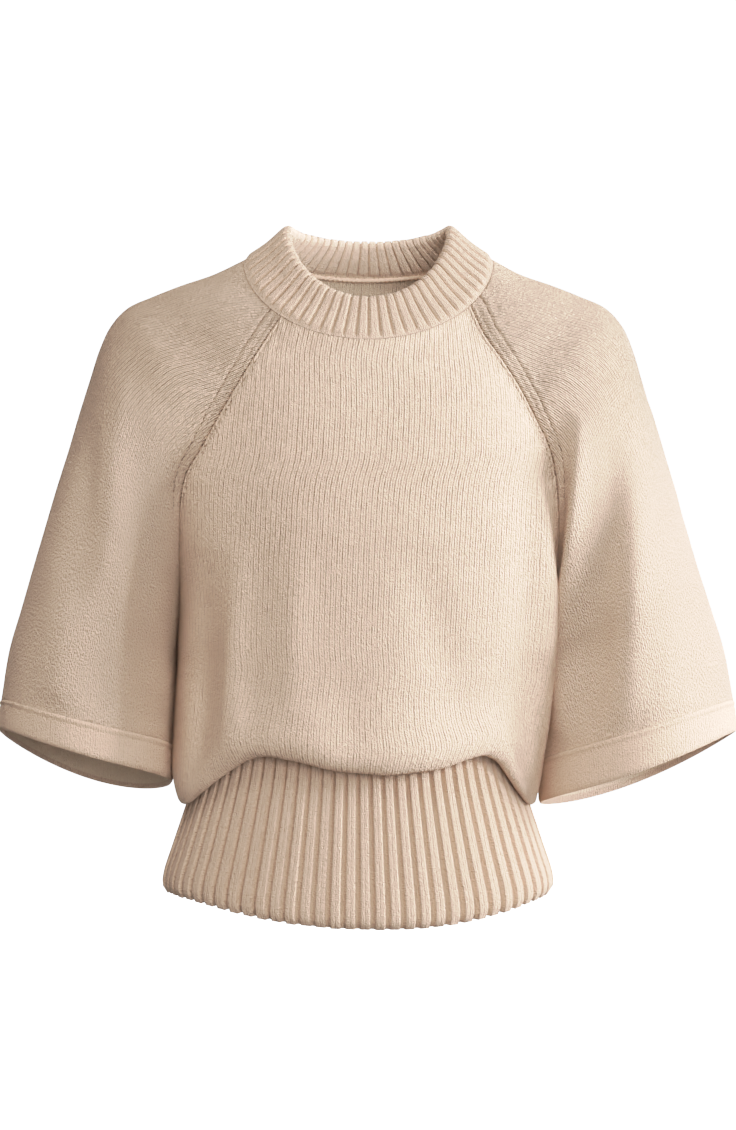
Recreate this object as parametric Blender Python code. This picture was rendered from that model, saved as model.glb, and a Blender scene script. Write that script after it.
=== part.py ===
"""Cape sweater: a boxy raglan jumper with wide short sleeves, a ribbed funnel collar
and a deep ribbed waistband that the body blouses over.

Metres, +Z up, front towards -Y. The origin lies at the base of the neck, midway
between the shoulders. Left and right are as seen from the front.
The tables below are in millimetres, one row for each knitted section or fold.
"""
import bpy
import numpy as np

MM = 0.001

# ---------------------------------------------------------------- driving sizes
PANEL_WALL = 2.0 * MM
COLLAR_WALL = 4.4 * MM
WAISTBAND_WALL = 2.2 * MM
SEAM_GAP = 0.3 * MM
COLLAR_SEAM_GAP = 0.5 * MM

COLLAR_RIBS = 60
COLLAR_RIB_HEIGHT = 1.3 * MM
WAISTBAND_RIBS = 74
WAISTBAND_RIB_HEIGHT = 2.0 * MM
RIB_PROFILE = ((0.0, 0.0), (0.26, 1.0), (0.74, 1.0))

PANEL_COLUMNS = 21
SLEEVE_COLUMNS = 19
# exponent of the body's rounded box sections, one is an ellipse
BODY_BOXINESS = 0.84
CREASE_ANGLE = 50.0
OUTLINE_SAMPLES = 3601

YARN_COLOUR = (0.66, 0.53, 0.41, 1.0)
RIB_COLOUR = (0.63, 0.50, 0.38, 1.0)
YARN_ROUGHNESS = 0.9


def table(names, *rows):
    """Turn rows of numbers into one array for each named column."""
    return dict(zip(names.split(), np.array(rows, dtype=float).T))


# ------------------------------------------------------------- neck and collar
# height falls from the sides of the neck to its front and its back
NECK_SEAM = dict(half_width=106.0, front_y=-88.0, back_y=75.0, side_z=14.0,
                 front_z=-64.0, back_z=5.0)
COLLAR_TOP = dict(half_width=69.0, front_y=-58.0, back_y=60.0, side_z=44.0,
                  front_z=-27.0, back_z=32.0)
# how steeply the cloth at the neck seam faces up: at the front, side and back
SEAM_FACING = dict(front=28.0, side=60.0, back=35.0)
# angles round the neck, from the front, where the raglan seams start
RAGLAN_ANGLE = dict(left=43.2, right=53.0)
COLLAR_BULGE = -1.2
PEAK_SOFTNESS = 0.16
# share of the rib height at the collar's seam and over its rounded top edge
COLLAR_SEAM_RELIEF = 0.5
COLLAR_TOP_RELIEF = 0.4
# how far the top edge lies inside the base line, in walls: its outer and inner line
COLLAR_TOP_DEPTH = (0.175, 0.75)
# a valley between two pieces this deep leaves each its own facing at their seam
VALLEY_BLEND = 0.9
VALLEY_START = -0.05

# ------------------------------------------------------------ raglan sections
# from the neck down the raglan seams to the underarm, one row for each section:
# seams in front (front_y of each side, front_z) and behind (back_y, back_z),
# the middle of the front and back panels, and how far their rows turn at the seams
SECTIONS = table(
    "left_x right_x left_y right_y front_z back_y back_z"
    " front_mid_y front_mid_z back_mid_y back_mid_z turn",
    (-83.0, 96.0, -73.0, -73.0, -59.5, 62.0, -16.0, -95.0, -83.0, 83.0, -18.0, 52.0),
    (-94.0, 108.0, -81.0, -81.0, -77.5, 71.0, -36.0, -100.5, -99.0, 90.0, -38.0, 52.0),
    (-108.6, 123.3, -86.0, -86.0, -102.0, 77.0, -64.0, -107.5, -121.0, 96.0, -66.0, 52.0),
    (-123.3, 136.4, -87.0, -88.0, -127.5, 79.0, -94.0, -113.0, -143.0, 100.0, -95.0, 54.0),
    (-138.3, 149.0, -84.0, -87.0, -154.5, 77.0, -128.0, -117.0, -164.0, 101.0, -128.0, 57.0),
    (-150.0, 153.2, -78.0, -84.0, -173.5, 72.0, -154.0, -119.5, -181.0, 100.0, -154.0, 60.0),
    (-154.8, 155.6, -71.0, -80.0, -193.5, 66.0, -182.0, -121.5, -200.0, 98.0, -182.0, 64.0),
    (-156.5, 156.9, -63.0, -74.0, -217.0, 59.0, -212.0, -123.0, -221.0, 95.5, -212.0, 68.0),
    (-157.5, 156.7, -54.0, -66.0, -240.0, 51.0, -239.0, -123.0, -242.0, 93.0, -239.0, 72.0),
    (-157.8, 156.5, -44.0, -56.0, -262.0, 42.0, -264.0, -122.5, -263.0, 93.0, -264.0, 77.0),
    (-158.9, 155.6, -32.0, -43.0, -287.0, 31.0, -289.0, -121.5, -287.0, 94.0, -289.0, 82.0),
    (-161.0, 154.5, -17.0, -25.0, -312.5, 17.0, -314.0, -120.5, -312.5, 96.0, -313.5, 87.0),
)

# outer line of the sleeve over the shoulder and down to the cuff, and the half
# depth of the sleeve from front to back at each section
SLEEVE_LINE = table(
    "left_outer_x right_outer_x outer_z depth",
    (-133.0, 130.0, -4.5, 72.0),
    (-160.0, 156.5, -13.0, 80.5),
    (-184.0, 180.5, -22.0, 84.8),
    (-205.0, 201.5, -31.5, 86.0),
    (-218.5, 215.0, -46.0, 86.5),
    (-227.5, 223.5, -65.0, 87.5),
    (-236.0, 231.5, -92.0, 88.5),
    (-245.0, 240.0, -121.0, 89.0),
    (-254.0, 249.5, -152.0, 89.0),
    (-264.0, 259.5, -184.0, 89.0),
    (-274.0, 270.0, -218.0, 88.5),
    (-284.0, 280.0, -252.0, 88.0),
    (-294.0, 290.5, -287.0, 87.0),
    (-304.0, 301.0, -322.0, 86.0),
    (-311.0, 309.0, -365.0, 85.0),
)
SHOULDER_SECTIONS = 3
SLEEVE_Y = -3.0

# underarm line of each sleeve, from the underarm point to the cuff seam
UNDERARM = table(
    "left_x right_x left_z right_z tilt sag",
    (-163.6, 153.3, -337.0, -337.0, 4.0, 0.0),
    (-165.2, 149.2, -367.0, -373.0, 8.0, 3.0),
    (-167.8, 145.6, -402.0, -416.0, 11.0, 8.0),
)
CUFF_HEM = dict(left_outer_x=-313.5, right_outer_x=312.0, outer_z=-390.5,
                left_x=-168.8, right_x=146.2, left_z=-433.0, right_z=-451.0,
                depth=84.5, left_tilt=12.0, right_tilt=9.0, sag=9.0)
CUFF_HEIGHT = 27.0
# rings of a cuff: how far down they lie, how proud they stand and how deep the wall is
CUFF_RINGS = table(
    "share proud depth",
    (SEAM_GAP / MM / CUFF_HEIGHT, 0.21, 2.9),
    (0.10, 0.7, 2.9),
    (0.50, 0.7, 2.9),
    (0.92, 0.56, 2.9),
    (1.0, -0.42, 2.175),
)

# -------------------------------------------------------------- body and pouch
# the body below the underarm: side seams and the middles of front and back
LOWER_BODY = table(
    "left_x right_x front_mid_y back_mid_y",
    (-162.8, 152.6, -119.5, 98.0),
    (-163.8, 148.2, -119.5, 101.5),
    (-165.2, 144.8, -121.0, 105.0),
    (-166.2, 143.8, -122.5, 107.0),
)
UNDERARM_Z = -337.0
# lowest line of the pouch, by the angle from the front (right positive)
POUCH_EDGE = table(
    "angle z",
    (-180.0, -424.0), (-165.0, -421.0), (-145.0, -411.0), (-128.0, -416.0),
    (-115.0, -434.0), (-100.0, -438.0), (-90.0, -434.0), (-80.0, -441.0),
    (-72.0, -449.0), (-66.0, -447.0), (-57.0, -437.0), (-45.0, -421.5), (-38.0, -412.5),
    (-32.0, -406.5), (-26.0, -404.5), (-15.0, -409.0), (-5.0, -416.0),
    (7.0, -420.0), (24.0, -415.5), (34.0, -408.5), (43.0, -404.5),
    (52.0, -412.0), (63.0, -437.0), (72.0, -449.5), (80.0, -449.0), (90.0, -441.0),
    (104.0, -440.0), (118.0, -428.0), (134.0, -412.0), (155.0, -414.0),
    (180.0, -424.0),
)
POUCH_TURNS = (30.0, 60.0, 90.0, 120.0, 150.0, 180.0)
POUCH_ROUNDNESS = 3.6
POUCH_DEEPEST = 18.0
POUCH_CLEARANCE = 2.4
# the end of the pouch turns over the top of the waistband: its distance outside
# the band's wall and its height above the band's top, row by row
WAIST_SEAM = ((4.6, -6.0), (4.2, 0.3), (0.6, 0.9))

# soft folds of the cloth: a line from top to foot, its half width and its lift
# (ridge positive, trough negative), on the front (-1) or the back (+1)
FOLD_TAPER = 0.8
EDGE_ROWS = 2
BODY_FOLDS = table(
    "top_x top_z foot_x foot_z half_width lift face",
    (-117.0, -320.0, -152.0, -440.0, 13.0, 5.0, -1.0),
    (-141.0, -330.0, -144.0, -415.0, 11.0, -6.0, -1.0),
    (-74.0, -300.0, -94.0, -420.0, 15.0, -3.0, -1.0),
    (76.0, -270.0, 88.0, -420.0, 19.0, -5.0, -1.0),
    (112.0, -270.0, 124.0, -420.0, 17.0, 4.5, -1.0),
    (-40.0, -250.0, -22.0, -420.0, 24.0, 3.0, -1.0),
    (-104.0, -250.0, -120.0, -430.0, 17.0, 5.0, 1.0),
    (-62.0, -280.0, -76.0, -425.0, 16.0, -5.0, 1.0),
    (20.0, -240.0, 12.0, -430.0, 22.0, 4.0, 1.0),
    (58.0, -290.0, 76.0, -425.0, 15.0, -4.5, 1.0),
    (104.0, -270.0, 116.0, -430.0, 16.0, 5.0, 1.0),
)
SLEEVE_FOLDS = table(
    "top_x top_z foot_x foot_z half_width lift face",
    (190.0, -150.0, 192.0, -410.0, 17.0, -4.5, -1.0),
    (222.0, -120.0, 232.0, -400.0, 18.0, 3.5, -1.0),
    (262.0, -190.0, 268.0, -400.0, 16.0, -3.0, -1.0),
    (196.0, -160.0, 202.0, -420.0, 17.0, -5.0, 1.0),
    (234.0, -120.0, 246.0, -420.0, 20.0, 4.5, 1.0),
    (276.0, -200.0, 284.0, -400.0, 15.0, -3.0, 1.0),
)

# ------------------------------------------------------------------- waistband
WAISTBAND = table(
    "share half_width half_depth",
    (0.0, 123.0, 92.0),
    (0.30, 131.0, 96.5),
    (0.54, 142.5, 101.0),
    (0.75, 153.5, 104.5),
    (0.91, 161.5, 106.5),
    (1.0, 163.5, 107.0),
)
WAISTBAND_TOP_Z = -368.0
WAISTBAND_MIDDLE = (-8.8, -5.0)
HEM_Z = dict(side=-523.0, front=-545.0, back=-538.0)
HEM_LOWEST_ANGLE = 6.0
WAISTBAND_INNER_ROWS = (0, 1, 2, 5)


# ------------------------------------------------------------- building blocks
def unit(vectors):
    """Scale vectors to length one."""
    return vectors / np.linalg.norm(vectors, axis=-1, keepdims=True)


def soft_positive(value):
    """The value where it is positive and nothing where it is negative, with no corner."""
    return (value + np.sqrt(value**2 + PEAK_SOFTNESS**2)) / (1 + np.sqrt(1 + PEAK_SOFTNESS**2))


def neck_ring(sizes, angle):
    """Point of a neck edge at an angle in degrees, from the front round by +X."""
    turn = np.radians(angle)
    across = np.sin(turn)
    ahead = np.cos(turn)
    middle_y = (sizes["front_y"] + sizes["back_y"]) / 2
    half_depth = (sizes["back_y"] - sizes["front_y"]) / 2
    front_drop = (sizes["front_z"] - sizes["side_z"]) * soft_positive(ahead)
    back_drop = (sizes["back_z"] - sizes["side_z"]) * soft_positive(-ahead)
    x = sizes["half_width"] * across
    y = middle_y - half_depth * ahead
    return np.stack([x, y, sizes["side_z"] + front_drop + back_drop], axis=-1) * MM


def neck_facing(angle):
    """Direction that the cloth faces at the neck seam, shared by all pieces there."""
    turn = np.radians(angle)
    ahead = np.cos(turn)
    end = np.where(ahead > 0, SEAM_FACING["front"], SEAM_FACING["back"])
    rise = np.radians(SEAM_FACING["side"] + (end - SEAM_FACING["side"]) * ahead**2)
    out = np.stack([np.sin(turn), -np.cos(turn)], axis=-1)
    return np.concatenate([out * np.cos(rise)[..., None], np.sin(rise)[..., None]], axis=-1)


def facing(points, closed):
    """Outward direction at each point of a grid whose rows run down the garment."""
    down = np.gradient(points, axis=0)
    if closed:
        across = (np.roll(points, -1, axis=1) - np.roll(points, 1, axis=1)) / 2
    else:
        across = np.gradient(points, axis=1)
    return unit(np.cross(down, across))


def fold_lift(folds, points, mirror):
    """How far a table of soft folds lifts each point; a mirror of -1 swaps the sides."""
    lift = np.zeros(points.shape[:2])
    x = points[..., 0] * mirror / MM
    z = points[..., 2] / MM
    side = np.sign(points[..., 1])
    for n in range(len(folds["lift"])):
        top = np.array([folds["top_x"][n], folds["top_z"][n]])
        run = np.array([folds["foot_x"][n], folds["foot_z"][n]]) - top
        length = np.hypot(*run)
        along = ((x - top[0]) * run[0] + (z - top[1]) * run[1]) / length**2
        aside = ((x - top[0]) * run[1] - (z - top[1]) * run[0]) / length
        taper = np.sin(np.pi * np.clip(along, 0, 1)) ** FOLD_TAPER
        width = np.exp(-(aside / folds["half_width"][n])**2)
        lift += folds["lift"][n] * (side == folds["face"][n]) * taper * width
    return lift * MM


def edge_fade(rows, columns):
    """One inside a panel and nothing along its four edges."""
    down = np.minimum(np.arange(rows), np.arange(rows)[::-1])
    across = np.minimum(np.arange(columns), np.arange(columns)[::-1])
    return np.outer(np.clip(down / EDGE_ROWS, 0, 1), np.clip(across / EDGE_ROWS, 0, 1))


def add_wall(name, outer, inner, closed, colour):
    """Make one closed body from a grid of outer and a grid of inner points."""
    rows, columns = outer.shape[:2]
    inner_rows = inner.shape[0]
    start = rows * columns
    wrap = columns if closed else columns - 1
    faces = []
    for j in range(wrap):
        k = (j + 1) % columns
        for i in range(rows - 1):
            a = i * columns
            b = a + columns
            faces.append((a + j, b + j, b + k, a + k))
        for i in range(inner_rows - 1):
            a = start + i * columns
            b = a + columns
            faces.append((a + j, a + k, b + k, b + j))
        last = (rows - 1) * columns
        last_in = start + (inner_rows - 1) * columns
        faces.append((j, k, start + k, start + j))
        faces.append((last + j, last_in + j, last_in + k, last + k))
    if not closed:
        edge = columns - 1
        for i in range(rows - 1):
            a = i * columns
            b = a + columns
            faces.append((a, start + a, start + b, b))
            faces.append((a + edge, b + edge, start + b + edge, start + a + edge))
    mesh = bpy.data.meshes.new(name)
    mesh.from_pydata(np.concatenate([outer.reshape(-1, 3), inner.reshape(-1, 3)]), [], faces)
    mesh.validate()
    mesh.shade_smooth()
    mesh.set_sharp_from_angle(angle=np.radians(CREASE_ANGLE))
    piece = bpy.data.objects.new(name, mesh)
    bpy.context.scene.collection.objects.link(piece)
    mesh.materials.append(yarn(name + "_yarn", colour))
    return piece


def yarn(name, colour):
    """Matt knitted yarn."""
    material = bpy.data.materials.new(name)
    material.use_nodes = True
    shader = material.node_tree.nodes["Principled BSDF"]
    shader.inputs["Base Color"].default_value = colour
    shader.inputs["Roughness"].default_value = YARN_ROUGHNESS
    shader.inputs["Metallic"].default_value = 0.0
    return material


# ------------------------------------------------------------------ body panels
def row_between(start, end, mid_y, mid_z, turn, spread):
    """Row of a panel that bows from one seam over the middle to the other seam."""
    angle = np.radians(turn) * spread
    limit = np.radians(turn)
    side = np.sign(angle) * (np.abs(np.sin(angle)) / np.sin(limit)) ** BODY_BOXINESS
    edge_level = np.cos(limit) ** BODY_BOXINESS if turn < 90 else 0.0
    bow = (np.clip(np.cos(angle), 0, 1) ** BODY_BOXINESS - edge_level) / (1 - edge_level)
    ends = start + (end - start) * ((1 + side) / 2)[:, None]
    row = ends.copy()
    row[:, 1] += (mid_y - ends[:, 1]) * bow
    row[:, 2] += (mid_z - ends[:, 2]) * bow
    return row


def waist_outline(angle, z, hem_z, clearance):
    """Point beside the waistband at a height, a clearance away from it."""
    share = np.clip((z - WAISTBAND_TOP_Z) / (hem_z - WAISTBAND_TOP_Z), 0, 1)
    half_width = np.interp(share, WAISTBAND["share"], WAISTBAND["half_width"]) + clearance
    half_depth = np.interp(share, WAISTBAND["share"], WAISTBAND["half_depth"]) + clearance
    turn = np.radians(angle)
    across = np.sign(np.sin(turn)) * np.abs(np.sin(turn)) ** BODY_BOXINESS
    ahead = np.sign(np.cos(turn)) * np.abs(np.cos(turn)) ** BODY_BOXINESS
    x = WAISTBAND_MIDDLE[0] + half_width * across
    y = WAISTBAND_MIDDLE[1] - half_depth * ahead
    return np.stack([x, y, z], axis=-1)


def hem_height(angle):
    """Height of the bottom hem, which dips at the front and a little at the back."""
    ahead = np.cos(np.radians(angle - HEM_LOWEST_ANGLE))
    end = np.where(ahead > 0, HEM_Z["front"], HEM_Z["back"])
    return HEM_Z["side"] + (end - HEM_Z["side"]) * np.abs(ahead)**3


def body_panel(front):
    """Outer points of the front or the back, from the neck seam to the waist seam."""
    spread = np.linspace(-1, 1, PANEL_COLUMNS)
    gap = SEAM_GAP / MM / 2
    if front:
        first, last = "left", "right"
        seam_y, seam_z, mid = ("left_y", "right_y"), "front_z", "front_mid"
        neck = np.interp(spread, (-1, 1), (-RAGLAN_ANGLE["left"], RAGLAN_ANGLE["right"]))
        around = 90 * spread
        side_y = -gap
    else:
        first, last = "right", "left"
        seam_y, seam_z, mid = ("back_y", "back_y"), "back_z", "back_mid"
        ends = (180 - RAGLAN_ANGLE["right"], 180 + RAGLAN_ANGLE["left"])
        neck = np.interp(spread, (-1, 1), ends)
        around = 180 + 90 * spread
        side_y = gap
    rows = [neck_ring(NECK_SEAM, neck) / MM]
    for n in range(len(SECTIONS["turn"])):
        z = SECTIONS[seam_z][n]
        start = np.array([SECTIONS[first + "_x"][n], SECTIONS[seam_y[0]][n], z])
        end = np.array([SECTIONS[last + "_x"][n], SECTIONS[seam_y[1]][n], z])
        rows.append(row_between(start, end, SECTIONS[mid + "_y"][n], SECTIONS[mid + "_z"][n],
                                SECTIONS["turn"][n], spread))

    signed_angle = (around + 180) % 360 - 180
    edge_z = np.interp(signed_angle, POUCH_EDGE["angle"], POUCH_EDGE["z"])
    hem_z = hem_height(around)
    inner = waist_outline(around, edge_z, hem_z, WAISTBAND_RIB_HEIGHT / MM + POUCH_CLEARANCE)
    lower = []
    for n in range(len(LOWER_BODY["left_x"])):
        start = np.array([LOWER_BODY[first + "_x"][n], side_y, UNDERARM_Z])
        end = np.array([LOWER_BODY[last + "_x"][n], side_y, UNDERARM_Z])
        middle_y = LOWER_BODY[mid + "_y"][n]
        lower.append(row_between(start, end, middle_y, UNDERARM_Z, 90.0, spread))
    inner[[0, -1], 1] = side_y
    half = (lower[-1] - inner) / 2
    half[:, 2] = 0
    half_gap = np.linalg.norm(half, axis=1)
    depth = np.minimum(half_gap**2 / POUCH_ROUNDNESS, POUCH_DEEPEST)
    turn_z = edge_z + depth
    for n, row in enumerate(lower):
        row[:, 2] = UNDERARM_Z + (turn_z - UNDERARM_Z) * n / (len(lower) - 1)
        rows.append(row)
    centre = (lower[-1] + inner) / 2
    for turn in np.radians(POUCH_TURNS):
        row = centre + half * np.cos(turn)
        row[:, 2] = turn_z - depth * np.sin(turn)
        rows.append(row)
    level = np.full(PANEL_COLUMNS, WAISTBAND_TOP_Z)
    ends = []
    for clearance, rise in WAIST_SEAM:
        row = waist_outline(around, level, hem_z, clearance)
        row[:, 2] += rise
        row[[0, -1], 1] = side_y
        ends.append(row)
    rows += [(rows[-1] + ends[0]) / 2, *ends]
    return np.array(rows) * MM, neck


# ---------------------------------------------------------------------- sleeves
def sleeve_section(front, back, outer, depth, short, spread):
    """Arc of the sleeve from the front seam over its outer line to the back seam."""
    middle = (front + back) / 2
    out = unit(outer - middle)
    across = unit(back - front)
    height = np.linalg.norm(outer - middle)
    half = np.linalg.norm(back - front) / 2
    wrap = np.arcsin(half / depth)
    if not short:
        wrap = np.pi - wrap
    reach = height / (1 - np.cos(wrap))
    angle = wrap * spread
    along = reach * (np.cos(angle) - np.cos(wrap))
    return middle + along[:, None] * out + (depth * np.sin(angle))[:, None] * across


def sleeve_panel(side):
    """Outer points of a sleeve; its columns run round by the front on the right side."""
    name = "right" if side > 0 else "left"
    spread = np.linspace(-1, 1, SLEEVE_COLUMNS)
    angle = RAGLAN_ANGLE[name]
    neck = side * np.interp(spread, (-1, 1), (angle, 180 - angle))
    rows = [neck_ring(NECK_SEAM, neck) / MM]
    sections = len(SECTIONS["turn"])
    for n in range(len(SLEEVE_LINE["depth"])):
        outer_x = SLEEVE_LINE[name + "_outer_x"][n]
        outer = np.array([outer_x, SLEEVE_Y, SLEEVE_LINE["outer_z"][n]])
        sag = 0.0
        if n < sections:
            x = SECTIONS[name + "_x"][n]
            front = np.array([x, SECTIONS[name + "_y"][n], SECTIONS["front_z"][n]])
            back = np.array([x, SECTIONS["back_y"][n], SECTIONS["back_z"][n]])
        else:
            low = n - sections
            sag = UNDERARM["sag"][low]
            front, back = seam_ends(UNDERARM[name + "_x"][low], UNDERARM[name + "_z"][low],
                                    UNDERARM["tilt"][low])
        row = sleeve_section(front, back, outer, SLEEVE_LINE["depth"][n],
                             n < SHOULDER_SECTIONS, spread)
        row[:, 2] -= sag * np.sin(np.pi * spread)**2
        rows.append(row)
    rows = np.array(rows) * MM
    if side < 0:
        rows = rows[:, ::-1]
        neck = neck[::-1]
    return rows, neck


def seam_ends(x, z, tilt):
    """Front and back edge of the underarm seam, tilted as the sleeve's section is."""
    gap = SEAM_GAP / MM / 2
    drop = np.tan(np.radians(tilt)) * gap
    return np.array([x, -gap, z + drop]), np.array([x, gap, z - drop])


def cuff_rings(side):
    """Outer points of a cuff, from its seam with the sleeve to its hem."""
    name = "right" if side > 0 else "left"
    spread = np.linspace(-1, 1, SLEEVE_COLUMNS)[:-1]
    droop = np.sin(np.pi * spread)**2
    seam_outer = np.array([SLEEVE_LINE[name + "_outer_x"][-1], SLEEVE_Y,
                           SLEEVE_LINE["outer_z"][-1]])
    hem_outer = np.array([CUFF_HEM[name + "_outer_x"], SLEEVE_Y, CUFF_HEM["outer_z"]])
    top = seam_ends(UNDERARM[name + "_x"][-1], UNDERARM[name + "_z"][-1], UNDERARM["tilt"][-1])
    foot = seam_ends(CUFF_HEM[name + "_x"], CUFF_HEM[name + "_z"],
                     CUFF_HEM[name + "_tilt"])
    seam = sleeve_section(*top, seam_outer, SLEEVE_LINE["depth"][-1], False, spread)
    hem = sleeve_section(*foot, hem_outer, CUFF_HEM["depth"], False, spread)
    seam[:, 2] -= UNDERARM["sag"][-1] * droop
    hem[:, 2] -= CUFF_HEM["sag"] * droop
    rings = np.array([seam + (hem - seam) * share for share in CUFF_RINGS["share"]]) * MM
    if side < 0:
        rings = rings[:, ::-1]
    return rings


# -------------------------------------------------------------- seams and walls
def match_seam(normals_a, normals_b, into_a):
    """Give two edges one facing, but where their cloths part inside a valley."""
    ridge = np.einsum("ij,ij->i", normals_a - normals_b, into_a)
    share = np.clip(1 + (ridge - VALLEY_START) / VALLEY_BLEND, 0, 1)[:, None]
    shared = unit(normals_a + normals_b)
    normals_a[:] = unit(normals_a + (shared - normals_a) * share)
    normals_b[:] = unit(normals_b + (shared - normals_b) * share)


def square_end(row, normals):
    """Turn the facings of an end row into the plane of that row."""
    arms = row - row.mean(axis=0)
    plane = unit(np.cross(arms[:-1], arms[1:]).sum(axis=0))
    return unit(normals - (normals @ plane)[:, None] * plane)


def pull_back(points, distance):
    """Draw the two side edges of a panel back from its seams."""
    first = unit(points[:, 1] - points[:, 0])
    last = unit(points[:, -2] - points[:, -1])
    points[:, 0] += first * distance
    points[:, -1] += last * distance


def build_panels():
    """Front, back and both sleeves, joined along the raglan, side and underarm seams."""
    front, front_neck = body_panel(True)
    back, back_neck = body_panel(False)
    right, right_neck = sleeve_panel(1)
    left, left_neck = sleeve_panel(-1)
    joined = len(SECTIONS["turn"]) + 1

    for panel, folds, mirror in ((front, BODY_FOLDS, 1), (back, BODY_FOLDS, 1),
                                 (right, SLEEVE_FOLDS, 1), (left, SLEEVE_FOLDS, -1)):
        lift = fold_lift(folds, panel, mirror) * edge_fade(*panel.shape[:2])
        outer_rows = joined + len(LOWER_BODY["left_x"])
        lift[outer_rows:] = 0
        panel += facing(panel, False) * lift[..., None]

    normals = {id(panel): facing(panel, False) for panel in (front, back, right, left)}
    for panel_a, panel_b in ((front, right), (right, back), (back, left), (left, front)):
        into_a = unit(panel_a[:joined, -2] - panel_a[:joined, -1])
        normals_a = normals[id(panel_a)][:joined, -1]
        normals_b = normals[id(panel_b)][:joined, 0]
        match_seam(normals_a, normals_b, into_a)
    for panel in (front, back, right, left):
        side = normals[id(panel)][joined:, [0, -1]]
        side[..., 1] = 0
        normals[id(panel)][joined:, [0, -1]] = unit(side)
    for panel, neck in ((front, front_neck), (back, back_neck),
                        (right, right_neck), (left, left_neck)):
        normals[id(panel)][0] = neck_facing(neck)
        body_rows = panel[:joined]
        pull_back(body_rows, SEAM_GAP / 2)
        panel[0] += unit(panel[1] - panel[0]) * COLLAR_SEAM_GAP / 2
    for sleeve in (left, right):
        ends = normals[id(sleeve)]
        ends[-1] = square_end(sleeve[-1], ends[-1])
    for name, panel in (("front", front), ("back", back),
                        ("sleeve_right", right), ("sleeve_left", left)):
        inner = panel - normals[id(panel)] * PANEL_WALL
        add_wall(name, panel, inner, False, YARN_COLOUR)


def build_cuffs():
    """Two plain hem bands, a little thicker than the sleeves."""
    for name, side in (("cuff_right", 1), ("cuff_left", -1)):
        rings = cuff_rings(side)
        normals = facing(rings, True)
        normals[0] = square_end(rings[0], normals[0])
        outer = rings + normals * CUFF_RINGS["proud"][:, None, None] * MM
        inner = rings - normals * CUFF_RINGS["depth"][:, None, None] * MM
        add_wall(name, outer, inner, True, YARN_COLOUR)


# ------------------------------------------------------------------ ribbed bands
def even_angles(outline, ribs):
    """Angles that space the ribs evenly along an outline, three columns for each rib."""
    fine = np.linspace(0, 360, OUTLINE_SAMPLES)
    points = outline(fine)
    steps = np.linalg.norm(np.diff(points, axis=0), axis=1)
    length = np.concatenate([[0], np.cumsum(steps)])
    shares = [(rib + start) / ribs for rib in range(ribs) for start, _ in RIB_PROFILE]
    relief = np.tile([height for _, height in RIB_PROFILE], ribs)
    return np.interp(np.array(shares) * length[-1], length, fine), relief


def build_collar():
    """Folded funnel collar: ribs outside, a rounded top edge and a plain inside."""
    angles, relief = even_angles(lambda a: neck_ring(NECK_SEAM, a), COLLAR_RIBS)
    seam = neck_ring(NECK_SEAM, angles)
    top = neck_ring(COLLAR_TOP, angles)
    middle = (seam + top) / 2
    base = np.array([seam, middle, top])
    normals = facing(base, True) * -1
    normals[0] = neck_facing(angles)
    climb = unit(top - seam)
    seam = seam + climb * COLLAR_SEAM_GAP / 2
    middle = middle + normals[1] * COLLAR_BULGE * MM
    rib = (relief * COLLAR_RIB_HEIGHT)[:, None]
    shoulder = top - climb * COLLAR_WALL / 2
    rim_outer, rim_inner = COLLAR_TOP_DEPTH
    outer = [
        seam + normals[0] * rib * COLLAR_SEAM_RELIEF,
        middle + normals[1] * rib,
        shoulder + normals[2] * rib,
        top - normals[2] * (COLLAR_WALL * rim_outer - rib * COLLAR_TOP_RELIEF),
    ]
    inner = [
        seam - normals[0] * COLLAR_WALL,
        middle - normals[1] * COLLAR_WALL,
        shoulder - normals[2] * COLLAR_WALL,
        top - normals[2] * COLLAR_WALL * rim_inner,
    ]
    add_wall("collar", np.array(outer[::-1]), np.array(inner[::-1]), True, RIB_COLOUR)


def build_waistband():
    """Deep ribbed band that narrows up into the waist and hangs from its seam there."""
    middle_z = (WAISTBAND_TOP_Z + HEM_Z["side"]) / 2

    def outline(angle):
        level = np.full(angle.shape, middle_z)
        return waist_outline(angle, level, HEM_Z["side"], 0.0)

    angles, relief = even_angles(outline, WAISTBAND_RIBS)
    hem_z = hem_height(angles)
    rows = []
    for share in WAISTBAND["share"]:
        z = WAISTBAND_TOP_Z + share * (hem_z - WAISTBAND_TOP_Z)
        rows.append(waist_outline(angles, z, hem_z, 0.0))
    base = np.array(rows) * MM
    normals = facing(base, True)
    normals[0, :, 2] = 0
    normals[0] = unit(normals[0])
    rib = relief[None, :, None] * WAISTBAND_RIB_HEIGHT
    outer = base + normals * rib
    inner = (base - normals * WAISTBAND_WALL)[list(WAISTBAND_INNER_ROWS)]
    add_wall("waistband", outer, inner, True, RIB_COLOUR)


def main():
    """Clear the scene and make the sweater."""
    for old in list(bpy.data.objects):
        bpy.data.objects.remove(old)
    build_panels()
    build_cuffs()
    build_collar()
    build_waistband()


main()
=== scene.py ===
# %% [markdown]
# # A cape sweater
# This sweater is a boxy raglan jumper in a thick, matte, beige yarn. It has cape-like short
# sleeves, a folded ribbed collar and a deep ribbed waistband, and the body blouses over that band.
# It is shown in the hollow form it takes when worn. Every piece below stands for one solid of the
# frame, in the same place and size, and adds the ribs, the seams, the folds and the knit.
#
# The first cell loads the frame.

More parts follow.
